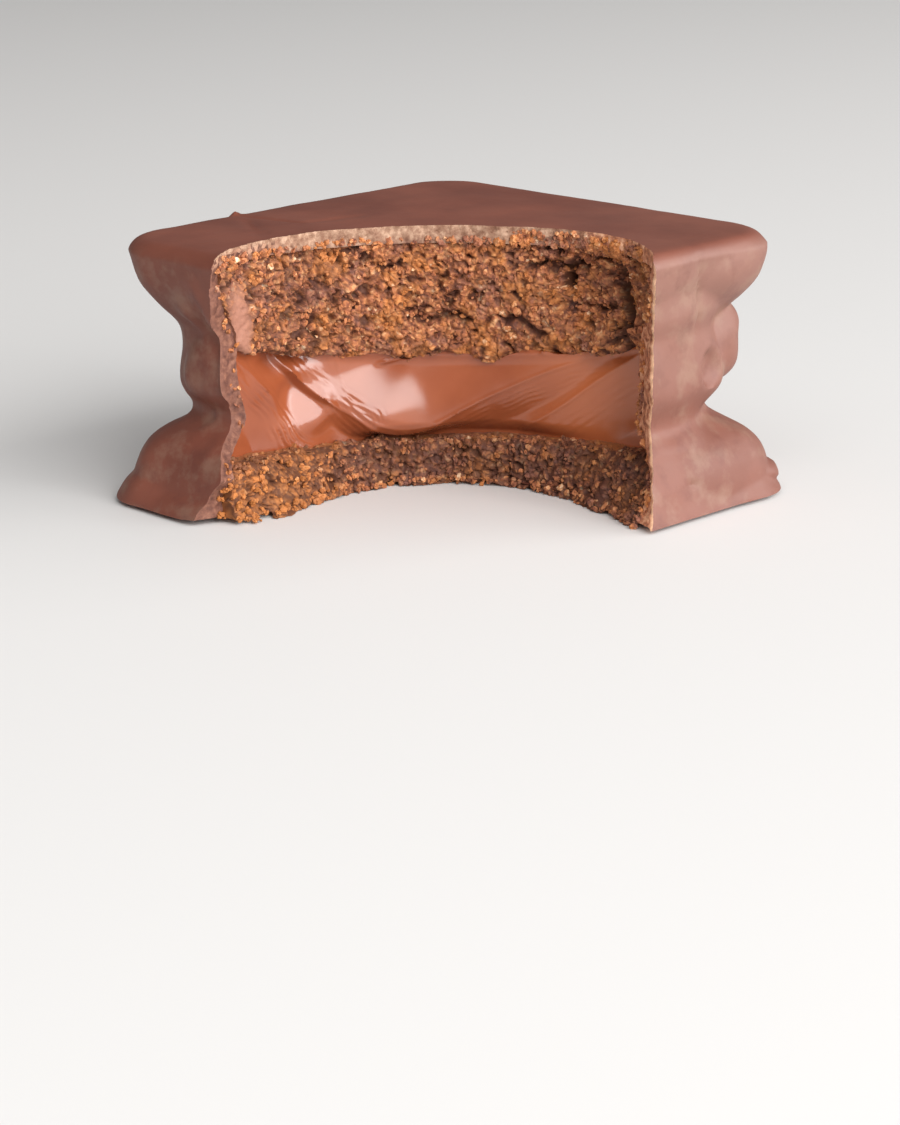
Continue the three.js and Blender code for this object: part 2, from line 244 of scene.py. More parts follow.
# Dents in the coating's outside, laid out as the lobes are.
DENTS = [
    (33, 15.0, 2.6, 2.6, 2.2, 1.2),
    (231, 10.5, 4.0, 2.0, 2.6, 0.5),
    (255, 10.8, 3.0, 2.4, 2.4, 0.5),
]

# The coating's outline, as places from one to another in so many steps: heights up the side, degrees
# round the shoulder, and shares of the top's half width. The base has its shares one by one.
SIDE_STEPS = (LOWEST, SHOULDER, 92)
SHOULDER_STEPS = (8, 84, 11)
TOP_STEPS = (0.92, 0.03, 33)
BASE_SHARES = (0.3, 0.6, 0.8, 0.92, 1)
# How many points go round the coating, and round and up the stack inside it.
COATING_TURNS = 480
STACK_TURNS = 144
STACK_RINGS = 28
OUTSIDE_WAVES = [(0.16, 4.2, 31), (0.05, 1.7, 32)]
# The top is smoother by this share than the sides, and lies a little lower.
TOP_SMOOTH = 0.75
TOP_LOWER = 0.06
# The outside's unevenness starts at this height and takes this much more to be full.
UNEVEN_FROM = 0.2
UNEVEN_OVER = 1.5

# Crumb hangs down in front of the coating's base, which snapped this far behind the bite.
SKIRT = {"reach": 27, "ends": 3, "depth": 2.2, "low": 0.06, "above": 0.05, "lumps": [(0.9, 1.7, 81)]}
EDGE_GRID = (38, 0.22, -3, HEIGHT + 3)
EDGE_WAVES = [(0.22, 2.6, 49)]
# The facets of the snapped edge, coarse and fine: how far one stands before the next, and how domed.
EDGE_FACETS = [
    {"size": 1.3, "seed": 41, "step": 0.2, "dome": 0.08},
    {"size": 0.5, "seed": 45, "step": 0.12, "dome": 0},
]
FACET_RISE = 3  # how steeply a facet's dome rises from its edge
# The coating came away a little further here.
PULLED = {"s": -26, "z": 21, "width": 7, "height": 9, "depth": 1.1}
# The snapped edge is worn off towards the coating's outside: over what width, and how deep.
EDGE_WEAR = {"reach": 0.7, "depth": 0.5}
# At the bite's far end it snapped aslant: where, over what width of the edge, and how steeply.
EDGE_SLANT = {"s": -27, "width": 10, "reach": 2.4, "steep": 0.5}
# A smear of chocolate over the upper biscuit's crumb, which it levels.
SMEAR = {"s": -23.2, "z": 19.6, "width": 2.0, "height": 5.0, "levels": 0.75}

# Cracks in the biscuits' crumb, on the unrolled bite: width, depth and path.
CRACKS = [
    (0.7, 2.4, [(19.9, 25.8), (20.1, 22.7), (21.1, 21.1), (21.5, 17.5)]),
    (0.6, 1.8, [(21.5, 17.5), (22.6, 16.9)]),
    (0.45, 1.4, [(16.8, 20.7), (19.4, 20.9)]),
    (0.45, 1.2, [(18.9, 17.3), (21.5, 17.8)]),
    (0.45, 1.5, [(9.6, 24.6), (11.6, 25.4), (13.5, 24.6), (14.9, 25.3), (17.3, 25.2)]),
    (0.42, 1.2, [(11.7, 27.2), (13.5, 26.8)]),
    (0.42, 1.1, [(-0.2, 19.0), (2.2, 19.2), (3.7, 18.3)]),
    (0.42, 1.2, [(6.8, 18.6), (8.6, 18.9), (10.4, 17.5), (11.7, 17.3)]),
    (0.42, 1.2, [(13.7, 24.2), (13.9, 22.5)]),
    (0.42, 1.0, [(-6.2, 24.6), (-4.6, 24.5), (-3.3, 25.5)]),
    (0.42, 0.9, [(-14.0, 18.8), (-12.8, 17.0)]),
    (0.4, 0.9, [(-3.0, 19.3), (-1.3, 18.4), (0.8, 18.8)]),
]
CRACK_WANDER = {"by": 0.3, "size": 0.9, "seeds": (61, 62)}
CRACK_SHADE = 0.8  # how dark a crack is for each millimetre of its depth

# The mosaic of grains in a broken biscuit, coarse to fine: size, bulge, unevenness, share of pores,
# how deep a pore is, and its share of the tone.
GRAINS = [
    (1.15, 0.18, 0.36, 0.12, 0.6, 0.15),
    (0.66, 0.16, 0.26, 0.14, 0.42, 0.45),
    (0.38, 0.10, 0.12, 0.12, 0.2, 0.4),
]
GRAIN_WARP = {"size": 0.7, "by": 0.36}
GRAIN_RISE = 2.6  # how steeply a grain rises from its edge
GRAIN_LEVEL = 0.6  # how much of its bulge lies behind the broken face
# Painted shade in the crumb's colour: between grains, and in pits by their depth.
GAP_SHADE = 0.75  # how dark it is between grains, as a share of a pore
DARK_PIT = 0.55  # a pit as deep as this is as dark as a pore gets
# The waves under the grains. The last is a roughness, so that no grain is a smooth dome.
CRUMB_WAVES = [(0.45, 3.1, 0), (0.3, 1.5, 1), (0.13, 0.36, 2)]
# Each biscuit: its broken face's grid, how far it lies behind the bite's plane, how its edge on the
# cream is worn (over what width, how deep), its lowest height, and its painted shade, as [s, dark].
BISCUITS = {
    "upper_crumb": {
        "grid": (30, 0.14, 12.9, 28.5),
        "recess": 0.55,
        "seed": 100,
        "wear": (0.8, 0.7),
        "base": COAT_BASE,
        "shade": [(-16, 0.24), (-8, 0)],
    },
    "lower_crumb": {
        "grid": (30, 0.14, -0.2, 7.4),
        "recess": 0.15,
        "seed": 300,
        "wear": (0.6, 0.5),
        "base": 0.1,
        "shade": [(-24, 0.26), (-7, 0.5)],
    },
}

# Loose crumbs that cling to the broken faces: on which layer, where along the bite and at what height,
# how many, and how much painted shade they get, most on the ledge and the lower biscuit, which lie in shade.
CRUMB_BEDS = [
    ("upper", (-25, 25), (15, 27.6), 580, 0.06),
    ("upper", (9, 24), (19, 27.6), 150, 0.15),
    ("lower", (-28, -8), (0.4, 5.2), 180, 0.2),
    ("lower", (-8, 27), (0.4, 6.2), 240, 0.5),
    ("coat", (-24, 10), (27.3, 27.9), 120, 0.0),
    ("coat", (8, 26), (27.2, 28.7), 190, 0.25),
    ("coat", (-27.5, -22), (26.6, 28.4), 50, 0.1),
    ("coat", (22, 30), (1, 27), 520, 0.12),
    ("coat", (-31, -21), (0.5, 26), 260, 0.2),
    ("lower", (-27, 27), (0.2, 1.0), 230, 0.35),
    ("coat", (-30, -20), (0.3, 4.5), 160, 0.15),
    ("cream", (21.2, 25.5), (6.5, 17.5), 260, 0.2),
    ("ledge", (-25, 25), (5, 6), 360, 0.65),
]
LEDGE = (0.2, 2.6)  # how far behind the bite's plane the lower biscuit's top shows
CRUMB_SEED = 77
CRUMB_SIZES = (0.08, 0.15, 0.44)  # least, commonest and greatest half width
CRUMB_STRETCH = (0.6, 1.4)  # least and greatest, along each of a crumb's own axes
CRUMB_DENTS = 0.26  # the usual depth of a dent, as a share of the crumb's size
CRUMB_DENT_LIMIT = 1.5  # and the greatest, in usual ones
CRUMB_TONE = (2.2, 2.6)  # the two powers of the spread of tones
CRUMB_DARKER = (0.6, 1.3)  # least and greatest share of its bed's darkness
CRUMB_LOWEST = 0.02
# How far crumbs may lie past the edge of what they broke off. On the coating: how far from its outside,
# how far within its inside, and how far below the shoulder they may lie anywhere on the top.
CRUMBS_PAST = {"cream": 0.3, "upper": 0.05, "lower": 0.1}
CRUMBS_ON_COAT = {"outside": 0.4, "inside": 0.2, "top": 0.5}
OFF_SMEAR = 0.9  # how far out from the smear's middle they start, as an oval of its shape
LEDGE_LIFT = 0.05

# ---- Camera, in millimetres and degrees, and lights ----
CAMERA_AZIMUTH = 44.836
CAMERA_DISTANCE = 330.53
CAMERA_HEIGHT = 90.93
CAMERA_ASIDE = 0.73
CAMERA_PITCH = 16.634
CAMERA_YAW = -0.109
CAMERA_ROLL = 0.68
CAMERA_LENS = 100.61
# Name, degrees to the right of the camera's side, elevation, distance, size and power.
LIGHTS = [
    ("window", 34, 27, 1.1, (0.92, 0.9), 17),
    ("side_window", 86, 20, 1.1, (1.3, 0.7), 12),
    ("front", -8, 48, 1.4, (1.0, 0.8), 5.5),
    ("fill", -75, 30, 1.4, (1.0, 1.0), 0.7),
]
LIGHTS_AIM = 15  # height they point at
WORLD_STRENGTH = 0.2
FLOOR_HALF = 6.0  # in metres

# Edges between faces that turn by more than this many degrees stay sharp.
COATING_SHARP = 35
LAYER_SHARP = 60
CRUMB_SHARP = 25


# ---- Helpers for shapes ----

def join(*coordinates):
    """Points from their coordinates, each a grid or one number for all."""
    return np.stack(np.broadcast_arrays(*coordinates), axis=-1)


def unit(value):
    """A value kept from 0 to 1."""
    return np.clip(value, 0, 1)


def smooth_through(stations, x):
    """A smooth curve through stations given as [x, y] pairs, with slopes from their neighbours."""
    xs, ys = np.array(stations, float).T
    slope = np.empty_like(xs)
    slope[1:-1] = (ys[2:] - ys[:-2]) / (xs[2:] - xs[:-2])
    slope[0] = (ys[1] - ys[0]) / (xs[1] - xs[0])
    slope[-1] = (ys[-1] - ys[-2]) / (xs[-1] - xs[-2])
    i = np.clip(np.searchsorted(xs, x, side="left") - 1, 0, len(xs) - 2)
    span = xs[i + 1] - xs[i]
    t = unit((x - xs[i]) / span)
    rise = ys[i + 1] - ys[i]
    bend0 = slope[i] * span - rise
    bend1 = -slope[i + 1] * span + rise
    return ys[i] + t * rise + t * (1 - t) * ((1 - t) * bend0 + t * bend1)


def stack_half(z):
    return smooth_through(STACK, z)


def foot(z):
    return FOOT_SPREAD * np.exp(-z / FOOT_FADE)


def plan_reach(angle):
    """A rounded square of half side 1, as its reach from the middle at an angle."""
    c, s = np.abs(np.cos(angle)), np.abs(np.sin(angle))
    long, short = np.maximum(c, s), np.minimum(c, s)
    straight = 1 - CORNER_SHARE
    k = straight * (long + short)
    round_corner = k + np.sqrt(np.maximum(k * k - 2 * straight**2 + CORNER_SHARE**2, 0))
    return np.where(short / long <= straight, 1 / long, round_corner)


DRAW_FACTOR = 16807
DRAW_RANGE = 2147483647


def park_miller(seed):
    """Draws from low to high, the same ones as the solids take."""
    state = seed

    def draw(low, high):
        nonlocal state
        state = (state * DRAW_FACTOR) % DRAW_RANGE
        return low + (high - low) * (state - 1) / (DRAW_RANGE - 1)

    return draw


def drawn_lobes():
    draw = park_miller(DRAW_SEED)
    step = (DRAWN_TO - DRAWN_FROM) / DRAWN_LOBES
    return [
        (DRAWN_FROM + step * (i + draw(*DRAWN_ASIDE)), *(draw(*ends) for ends in DRAWN_RANGES))
        for i in range(DRAWN_LOBES)
    ]


RIM_HALF = float(stack_half(HEIGHT)) + COAT
ALL_LOBES = LOBES + drawn_lobes() + FLAPS


def rim_point(angle):
    reach = RIM_HALF * plan_reach(angle)
    return reach * np.cos(angle), reach * np.sin(angle)


def lobe_rise(lobes, angle, z):
    """How far the lobes stand out: a soft maximum, so creases stay between them."""
    x, y = rim_point(angle)
    total = np.zeros_like(x)
    for middle, height, width, up, down, depth in lobes:
        lobe_x, lobe_y = rim_point(np.radians(middle))
        across = np.hypot(x - lobe_x, y - lobe_y) / width
        along = (z - height) / np.where(z > height, up, down)
        e = across**2 + along**2
        total += np.where(e < 1, (depth * (1 - e * e) ** 2) ** SOFT_MAX, 0)
    return total ** (1 / SOFT_MAX)


def hashed(i, j, k, seed):
    """A number from 0 to 1 for a whole-numbered cell, the same in every run."""
    h = (i * 374761393 + j * 668265263 + k * 1274126177 + seed * 1442695) & 0xFFFFFFFF
    h = ((h ^ (h >> 13)) * 1274126177) & 0xFFFFFFFF
    return ((h ^ (h >> 16)) & 0xFFFFFF) / 0xFFFFFF


def noise(points, size, seed):
    """Smooth noise from -1 to 1 that changes over a distance of size."""
    at = points / size
    cell = np.floor(at).astype(np.int64)
    f = at - cell
    f = f * f * (3 - 2 * f)
    total = 0
    for corner in np.ndindex(2, 2, 2):
        share = np.prod(np.where(corner, f, 1 - f), axis=-1)
        i, j, k = np.moveaxis(cell + corner, -1, 0)
        total = total + share * hashed(i, j, k, seed)
    return 2 * total - 1


def waves(points, heights, seed=0):
    """Noises added up, each given as its height, its size and its own seed."""
    return sum(height * noise(points, size, seed + own) for height, size, own in heights)


def grains(points, size, seed):
    """Which of a bed of scattered grains a point is in: its distance in from the grain's edge, as a
    share of size, and a draw for the grain."""
    at = points / size
    cell = np.floor(at).astype(np.int64)
    first = np.full(at.shape[:-1], 9.0)
    second = first.copy()
    owner = np.zeros_like(first)
    for step in np.ndindex(3, 3, 3):
        spot = cell + (np.array(step) - 1)
        i, j, k = np.moveaxis(spot, -1, 0)
        seat = join(*(hashed(i, j, k, seed + axis) for axis in range(3)))
        reach = np.linalg.norm(at - spot - seat, axis=-1)
        nearer = reach < first
        second = np.where(nearer, first, np.minimum(second, reach))
        owner = np.where(nearer, hashed(i, j, k, seed + 3), owner)
        first = np.where(nearer, reach, first)
    return second - first, owner


STROKE_END = 0.25  # how high a stroke is at its ends
STROKE_TAPER = 4  # and how quickly it rises from there


def along_strokes(points, path, width):
    """1 on a path of points and falling to 0 away from it, and thinning towards its two ends."""
    path = np.array(path, float)
    lengths = np.linalg.norm(np.diff(path, axis=0), axis=1)
    starts = np.concatenate([[0], np.cumsum(lengths)])
    nearest = np.full(points.shape[:-1], 1e9)
    along = np.zeros_like(nearest)
    for a, b, start, length in zip(path[:-1], path[1:], starts, lengths):
        t = unit((points - a) @ (b - a) / length**2)
        away = np.linalg.norm(points - a - t[..., None] * (b - a), axis=-1)
        closer = away < nearest
        along = np.where(closer, start + t * length, along)
        nearest = np.where(closer, away, nearest)
    end = np.minimum(along, starts[-1] - along) / starts[-1]
    return np.exp(-((nearest / width) ** 2)) * np.minimum(1, STROKE_END + STROKE_TAPER * end)


def strokes_rise(points, strokes, lay=lambda spot: spot):
    """How far strokes stand out at some points. Lay says where a spot of a stroke's path lies."""
    return sum(
        height * along_strokes(points, [lay(spot) for spot in path], width)
        for width, height, path in strokes
    )


def oval(s, z, spot):
    """0 in the middle of an oval on the unrolled bite, and 1 on its outline."""
    return ((s - spot["s"]) / spot["width"]) ** 2 + ((z - spot["z"]) / spot["height"]) ** 2


def flatten(*grids):
    return np.concatenate([np.asarray(grid, float).reshape(-1, 3) for grid in grids])


# ---- Helpers for meshes ----

low_corner, high_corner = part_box("upper_biscuit")
SHIFT = np.array([(low_corner[0] + high_corner[0]) / 2, (low_corner[1] + high_corner[1]) / 2, 0])


def to_world(points):
    return np.asarray(points) * MM + SHIFT


def new_object(name, data):
    made = bpy.data.objects.new(name, data)
    bpy.context.scene.collection.objects.link(made)
    return made


def make_piece(name, points, faces, material):
    mesh = bpy.data.meshes.new(name)
    mesh.from_pydata(to_world(points).tolist(), [], faces)
    mesh.materials.append(material)
    mesh.validate()
    return new_object(name, mesh)


def give(piece, name, values):
    """Gives each point of a piece a value, which its material reads by name."""
    layer = piece.data.attributes.new(name, "FLOAT", "POINT")
    layer.data.foreach_set("value", values.astype(np.float32))


def pairs(ring):
    """Each point of a closed ring with the next one."""
    return zip(ring, ring[1:] + ring[:1])


def grid_faces(rows, columns, start=0, wrap=False):
    """Quads of a grid of points laid out row by row."""
    last = columns if wrap else columns - 1
    i, j = np.meshgrid(np.arange(rows - 1) * columns, np.arange(last), indexing="ij")
    k = (j + 1) % columns
    quads = join(i + j, i + k, i + columns + k, i + columns + j)
    return (quads.reshape(-1, 4) + start).tolist()


def boolean(piece, operation, tool):
    """Cuts a piece with a tool, which is then gone. The cut takes the tool's material."""
    step = piece.modifiers.new("cut", "BOOLEAN")
    step.operation = operation
    step.solver = "MANIFOLD"
    step.material_mode = "TRANSFER"
    step.object = tool
    graph = bpy.context.evaluated_depsgraph_get()
    made = bpy.data.meshes.new_from_object(piece.evaluated_get(graph), depsgraph=graph)
    piece.modifiers.clear()
    old = piece.data
    piece.data = made
    made.name = piece.name
    bpy.data.meshes.remove(old)
    tool_mesh = tool.data
    bpy.data.objects.remove(tool)
    bpy.data.meshes.remove(tool_mesh)


def squared_lathe(name, profile, turns, material, reshape=lambda points, angle: points):
    """A closed body turned from a profile of [half width, z] and squared off in plan. The profile's
    two ends lie on the axis."""
    turned = np.arange(turns) * 2 * np.pi / turns
    angle = turned + CROWDING * np.sin(4 * turned)
    half, z = np.array(profile[1:-1], float).T
    reach = half[:, None] * plan_reach(angle)[None, :]
    rings = join(reach * np.cos(angle), reach * np.sin(angle), z[:, None])
    rings = reshape(rings, np.broadcast_to(angle, reach.shape))
    count = rings.shape[0] * turns
    poles = [(0, 0, profile[0][1]), (0, 0, profile[-1][1])]
    faces = grid_faces(rings.shape[0], turns, wrap=True)
    last = (rings.shape[0] - 1) * turns
    for j, k in pairs(list(range(turns))):
        faces.append((count, k, j))
        faces.append((count + 1, last + j, last + k))
    return make_piece(name, flatten(rings, poles), faces, material)


SLAB_HALF = 29
SLAB_CELL = 0.6


def slab(name, low_face, high_face, material):
    """Everything between two curved faces, as a block wider than the cookie."""
    side = np.linspace(-SLAB_HALF, SLAB_HALF, round(2 * SLAB_HALF / SLAB_CELL) + 1)
    count = len(side)
    x, y = np.meshgrid(side, side, indexing="ij")
    low = join(x, y, low_face(x, y))
    high = join(x, y, high_face(x, y))
    faces = grid_faces(count, count)
    faces += [face[::-1] for face in grid_faces(count, count, start=count * count)]
    border = border_of(count, count)
    above = [i + count * count for i in border]
    for (i, k), (over_i, over_k) in zip(pairs(border), pairs(above)):
        faces.append((k, i, over_i, over_k))
    return make_piece(name, flatten(low, high), faces, material)


def border_of(rows, columns):
    """The grid's outer points, in order round it."""
    bottom = list(range(columns))
    right = [i * columns + columns - 1 for i in range(1, rows)]
    top = [(rows - 1) * columns + j for j in range(columns - 2, -1, -1)]
    left = [i * columns for i in range(rows - 2, 0, -1)]
    return bottom + right + top + left


# ---- The bite ----

def bite_line():
    """Plan of the bite at the top, finely divided: s, p across it, q towards the bitten corner, and
    the tangent's p and q."""
    side = np.linspace(-1, 1, BITE_STEPS)
    over = np.maximum(0, np.abs(side) - (1 - BITE_LEG_SHARE)) / BITE_LEG_SHARE
    turn = np.clip(side / (1 - BITE_LEG_SHARE), -1, 1) * np.pi / 2
    across = np.abs(np.sin(turn)) ** (2 / BITE_POWER)
    inward = np.maximum(0, np.cos(turn)) ** (2 / BITE_POWER)
    p = BITE_CENTRE + np.sign(turn) * BITE_HALF_WIDTH * across
    q = BITE_MOUTH - BITE_DEPTH * inward + over * BITE_LEG
    s = np.concatenate([[0], np.cumsum(np.hypot(np.diff(p), np.diff(q)))])
    s -= s[-1] / 2
    tangent = np.stack([np.gradient(p, s), np.gradient(q, s)])
    tangent /= np.linalg.norm(tangent, axis=0)
    return s, p, q, tangent[0], tangent[1]


LINE = bite_line()
BITE_REACH = LINE[0][-1]


def from_diagonal(p, q, z):
    return join((p + q) * math.sqrt(0.5), (p - q) * math.sqrt(0.5), z)


def towards_corner(p, q, z, jut=1):
    """How far towards the bitten corner a point of the bite lies at a height, from the bite's top."""
    deep = q - BITE_DEEPER * (1 - z / HEIGHT)
    out = np.abs(p - FOOT_BITE["centre"]) / FOOT_BITE["reach"]
    low = FOOT_BITE["middle"] + FOOT_BITE["rise"] * out ** FOOT_BITE["power"]
    below = 1 - z / FOOT_BITE["top"]
    eased = (below + np.sqrt(below**2 + FOOT_EASE**2)) / 2
    return deep + jut * FOOT_BITE["say"] * unit(eased) * np.maximum(0, low - deep)


def bite_points(s, z, inward, jut=1):
    """Points of the bite's face at s along it and z up, set back by inward. Jut is how much of the
    foot that stands out below they follow."""
    p, q, tangent_p, tangent_q = (np.interp(s, LINE[0], values) for values in LINE[1:])
    return from_diagonal(p + tangent_q * inward, towards_corner(p, q, z, jut) - tangent_p * inward, z)


FAR = 90  # how far the tool for a bite reaches past the cookie
COARSE_STEP = 1.5
CARRY_REACH = 0.4  # how near a grid's point has to be for its values to be carried over


def bite_grid(fine_reach, step, low, high):
    """Stations along and up the bite: fine within fine_reach of its middle and coarse beyond."""
    rest = np.arange(fine_reach, BITE_REACH, COARSE_STEP)[1:]
    s = np.concatenate([-rest[::-1], np.arange(-fine_reach, fine_reach + step / 2, step), rest])
    z = np.linspace(low, high, round((high - low) / step) + 1)
    return np.meshgrid(s, z)


def bite_tool(name, s, z, inward, material, jut=1):
    """A closed body that takes away the bitten corner, faced with a grid of the bite's surface."""
    face = bite_points(s, z, inward, jut)
    rows, columns = s.shape
    count = rows * columns
    border = border_of(rows, columns)
    far = face.reshape(-1, 3)[border] + np.array([1, -1, 0]) * FAR * math.sqrt(0.5)
    centre = far.mean(axis=0)
    faces = [quad[::-1] for quad in grid_faces(rows, columns)]
    outer = list(range(count, count + len(border)))
    for (i, k), (far_i, far_k) in zip(pairs(border), pairs(outer)):
        faces.append((i, k, far_k, far_i))
        faces.append((far_i, far_k, count + len(border)))
    return make_piece(name, flatten(face, far, centre), faces, material)


def carry(piece, grid, values):
    """Gives a piece's points the values of the nearest points of a grid, or another value elsewhere."""
    points = to_world(grid.reshape(-1, 3))
    tree = KDTree(len(points))
    for i, point in enumerate(points):
        tree.insert(point, i)
    tree.balance()
    nearest = [tree.find(vertex.co) for vertex in piece.data.vertices]
    index = np.array([found[1] for found in nearest])
    near = np.array([found[2] for found in nearest]) < CARRY_REACH * MM
    for name, (value, elsewhere) in values.items():
        give(piece, name, np.where(near, value.reshape(-1)[index], elsewhere))


# ---- Surfaces between the layers ----

def face_height(face, x, y):
    return face["middle"] + face["rise"] * (x * x + y * y) / EDGE_REACH**2


def lumpy_face(face, x, y):
    """A face between cream and biscuit, lumpy where they were pressed together."""
    at = join(x, y, 0)
    return face_height(face, x, y) + waves(at, face["waves"])


def upper_face(x, y):
    return lumpy_face(UPPER_FACE, x, y)


def lower_face(x, y):
    return lumpy_face(LOWER_FACE, x, y)


def skirt_low(x, y):
    """The lower biscuit's underside: on the coating's base, and down past its broken edge."""
    p, q = (x + y) * math.sqrt(0.5), (x - y) * math.sqrt(0.5)
    inside = np.abs(LINE[0]) < SKIRT["reach"]
    edge = towards_corner(p, np.interp(p, LINE[1][inside], LINE[2][inside]), 0)
    lumps = np.maximum(0, waves(join(x, y, 0), SKIRT["lumps"]))
    return np.where(q > edge - SKIRT["depth"], SKIRT["low"] + lumps, COAT_BASE - CRUMB_LAP)


def bare_stack(name, inset, material, low=COAT_BASE):
    low, high = low + inset, SHOULDER - inset
    heights = np.linspace(low, high, STACK_RINGS)
    profile = [(0, low)] + [(float(stack_half(z)) - inset, z) for z in heights] + [(0, high)]
    return squared_lathe(name, profile, STACK_TURNS, material)


# ---- The coating ----

def bare_side(z):
    """The coating's half width across the flats, before anything ran down it."""
    return stack_half(z) + COAT + foot(z)


def outside_profile():
    """The coating's outside, from the middle of its base up to the middle of its top."""
    profile = [(0, 0)]
    profile += [((RIM_HALF - BASE_INSET) * share, 0) for share in BASE_SHARES]
    for z in np.linspace(*SIDE_STEPS):
        profile.append((float(bare_side(z)), z))
    for lift in np.radians(np.linspace(*SHOULDER_STEPS)):
        profile.append((RIM_HALF - COAT_TOP * (1 - math.cos(lift)), SHOULDER + COAT_TOP * math.sin(lift)))
    for share in np.linspace(*TOP_STEPS):
        profile.append((RIM_HALF * share, HEIGHT - CROWN * share * share))
    return profile + [(0, HEIGHT)]


def outside_reach(angle, z):
    """How far the coating's outside lies from the middle, with what ran down it."""
    return bare_side(z) * plan_reach(angle) + lobe_rise(ALL_LOBES, angle, z)


def side_point(spot):
    """A spot of a stroke down the side, given by its angle in degrees and its height."""
    angle, z = math.radians(spot[0]), spot[1]
    reach = float(bare_side(z) * plan_reach(angle))
    return reach * math.cos(angle), reach * math.sin(angle), z


def top_point(spot):
    return *spot, HEIGHT - CROWN


def coating_relief(smooth, angle):
    """Lobes, dents and strokes on the coating's outside, over a faint unevenness."""
    z = smooth[..., 2]
    rise = lobe_rise(ALL_LOBES, angle, z) - lobe_rise(DENTS, angle, z)
    outward = join(np.cos(angle), np.sin(angle), 0)
    shaped = smooth + outward * rise[..., None]

    round_it = np.roll(shaped, -1, axis=1) - np.roll(shaped, 1, axis=1)
    normal = np.cross(round_it, np.gradient(shaped, axis=0))
    normal /= np.linalg.norm(normal, axis=-1, keepdims=True) + 1e-12
    on_top = unit((z - SHOULDER) / COAT_TOP)
    above_foot = unit((z - UNEVEN_FROM) / UNEVEN_OVER)
    bump = waves(smooth, OUTSIDE_WAVES) * (1 - TOP_SMOOTH * on_top) - TOP_LOWER * on_top
    bump = bump + strokes_rise(smooth, SIDE_STROKES, side_point)
    bump = bump + strokes_rise(smooth, TOP_STROKES, top_point)
    return shaped + normal * (bump * above_foot)[..., None]


def arch(s, spot):
    """1 at a spot along the bite, falling to 0 at its width from there."""
    return np.maximum(0, 1 - ((s - spot["s"]) / spot["width"]) ** 2)


def chip_depth(s, z):
    return CHIP["depth"] * arch(s, CHIP) * np.maximum(0, 1 - z / CHIP["top"])


def broken_edge(s, z):
    """How unevenly the coating snapped: small facets over a gentle wave, and worn towards its outside."""
    flat = bite_points(s, z, 0 * s)
    wave = waves(flat, EDGE_WAVES) + chip_depth(s, z)
    for facet in EDGE_FACETS:
        gap, lift = grains(flat, facet["size"], facet["seed"])
        wave = wave + facet["step"] * (lift - 0.5) - facet["dome"] * unit(gap * FACET_RISE)
    under = unit((SKIRT["reach"] - np.abs(s)) / SKIRT["ends"]) * (z < COAT_BASE + SKIRT["above"])
    within = to_outside(flat)
    wave = wave + worn(within, EDGE_WEAR["reach"], EDGE_WEAR["depth"])
    slant = np.clip(EDGE_SLANT["reach"] - within, 0, EDGE_SLANT["reach"])
    wave = wave + EDGE_SLANT["steep"] * arch(s, EDGE_SLANT) * slant
    pulled = PULLED["depth"] * np.maximum(0, 1 - oval(s, z, PULLED))
    return wave + SKIRT["depth"] * under + pulled


def to_outside(points):
    """How far within the coating's outside points lie."""
    x, y, z = np.moveaxis(points, -1, 0)
    return outside_reach(np.arctan2(y, x), z) - np.hypot(x, y)


def build_coating(material, broken):
    coating = squared_lathe("coating_shell", outside_profile(), COATING_TURNS, material, coating_relief)
    boolean(coating, "DIFFERENCE", bare_stack("void", 0, material))
    s, z = bite_grid(*EDGE_GRID)
    inward = broken_edge(s, z)
    boolean(coating, "DIFFERENCE", bite_tool("tool", s, z, inward, broken))
    grid = bite_points(s, z, inward)
    # How near the snapped edge lies to the outside, which the material paints as a highlight line along the
    # rim.
    carry(coating, grid, {"rim": (1 - unit(to_outside(grid) / EDGE_WEAR["reach"]), 0)})
    return coating, (s, z, inward)


# ---- Layers ----

def bitten_layer(name, lap, base, faces, grid, material, jut=1):
    """The stack between two faces, without what a bite with a grid of (s, z, inward) takes away."""
    piece = bare_stack(name, -lap, material, base)
    boolean(piece, "INTERSECT", slab("slab", *faces, material))
    boolean(piece, "DIFFERENCE", bite_tool("tool", *grid, material, jut))
    return piece


# ---- The biscuits ----

def warped(flat, seed):
    """Points moved a little, so that no grain has straight sides."""
    moved = (noise(flat, GRAIN_WARP["size"], seed + axis) for axis in range(3))
    return flat + GRAIN_WARP["by"] * join(*moved)


def crumb_relief(flat, seed):
    """How far a broken biscuit stands out, and each point's tone and painted shade, darkest in pits and
    between grains.
    """
    out = waves(flat, CRUMB_WAVES, seed)
    tone = 0
    painted_shade = np.zeros_like(out)
    bent = warped(flat, seed + 80)
    for level, (size, bulge, uneven, pores, pit, share) in enumerate(GRAINS):
        gap, draw = grains(bent, size, seed + 10 * (level + 1))
        dome = unit(gap * GRAIN_RISE)
        dome = dome * (2 - dome)
        missing = draw < pores
        lift = bulge * (dome - GRAIN_LEVEL) + uneven * (draw - 0.5)
        out = out + np.where(missing, -pit * dome, lift)
        # Painted shade: darker deep in pits and in the gaps between grains.
        shade = np.where(missing, dome, GAP_SHADE * (1 - dome))
        painted_shade = np.maximum(painted_shade, shade * pit / DARK_PIT)
        tone = tone + share * hashed_draw(draw, level)
    return out, tone, painted_shade


def hashed_draw(draw, level):
    """A second draw for a grain, worked out from its first."""
    return np.modf(draw * (97.0 + 13 * level))[0]


def crack_depth(s, z):
    at = join(s, z)
    wander = join(s, z, 0)
    moved = (noise(wander, CRACK_WANDER["size"], seed) for seed in CRACK_WANDER["seeds"])
    at = at + CRACK_WANDER["by"] * join(*moved)
    deepest = np.zeros_like(s)
    for width, depth, path in CRACKS:
        deepest = np.maximum(deepest, depth * along_strokes(at, path, width))
    return deepest


def hollow_depth(s, z):
    off = oval(s, z, HOLLOW)
    return np.where(off < 1, HOLLOW["depth"] * (1 - off * off), 0)


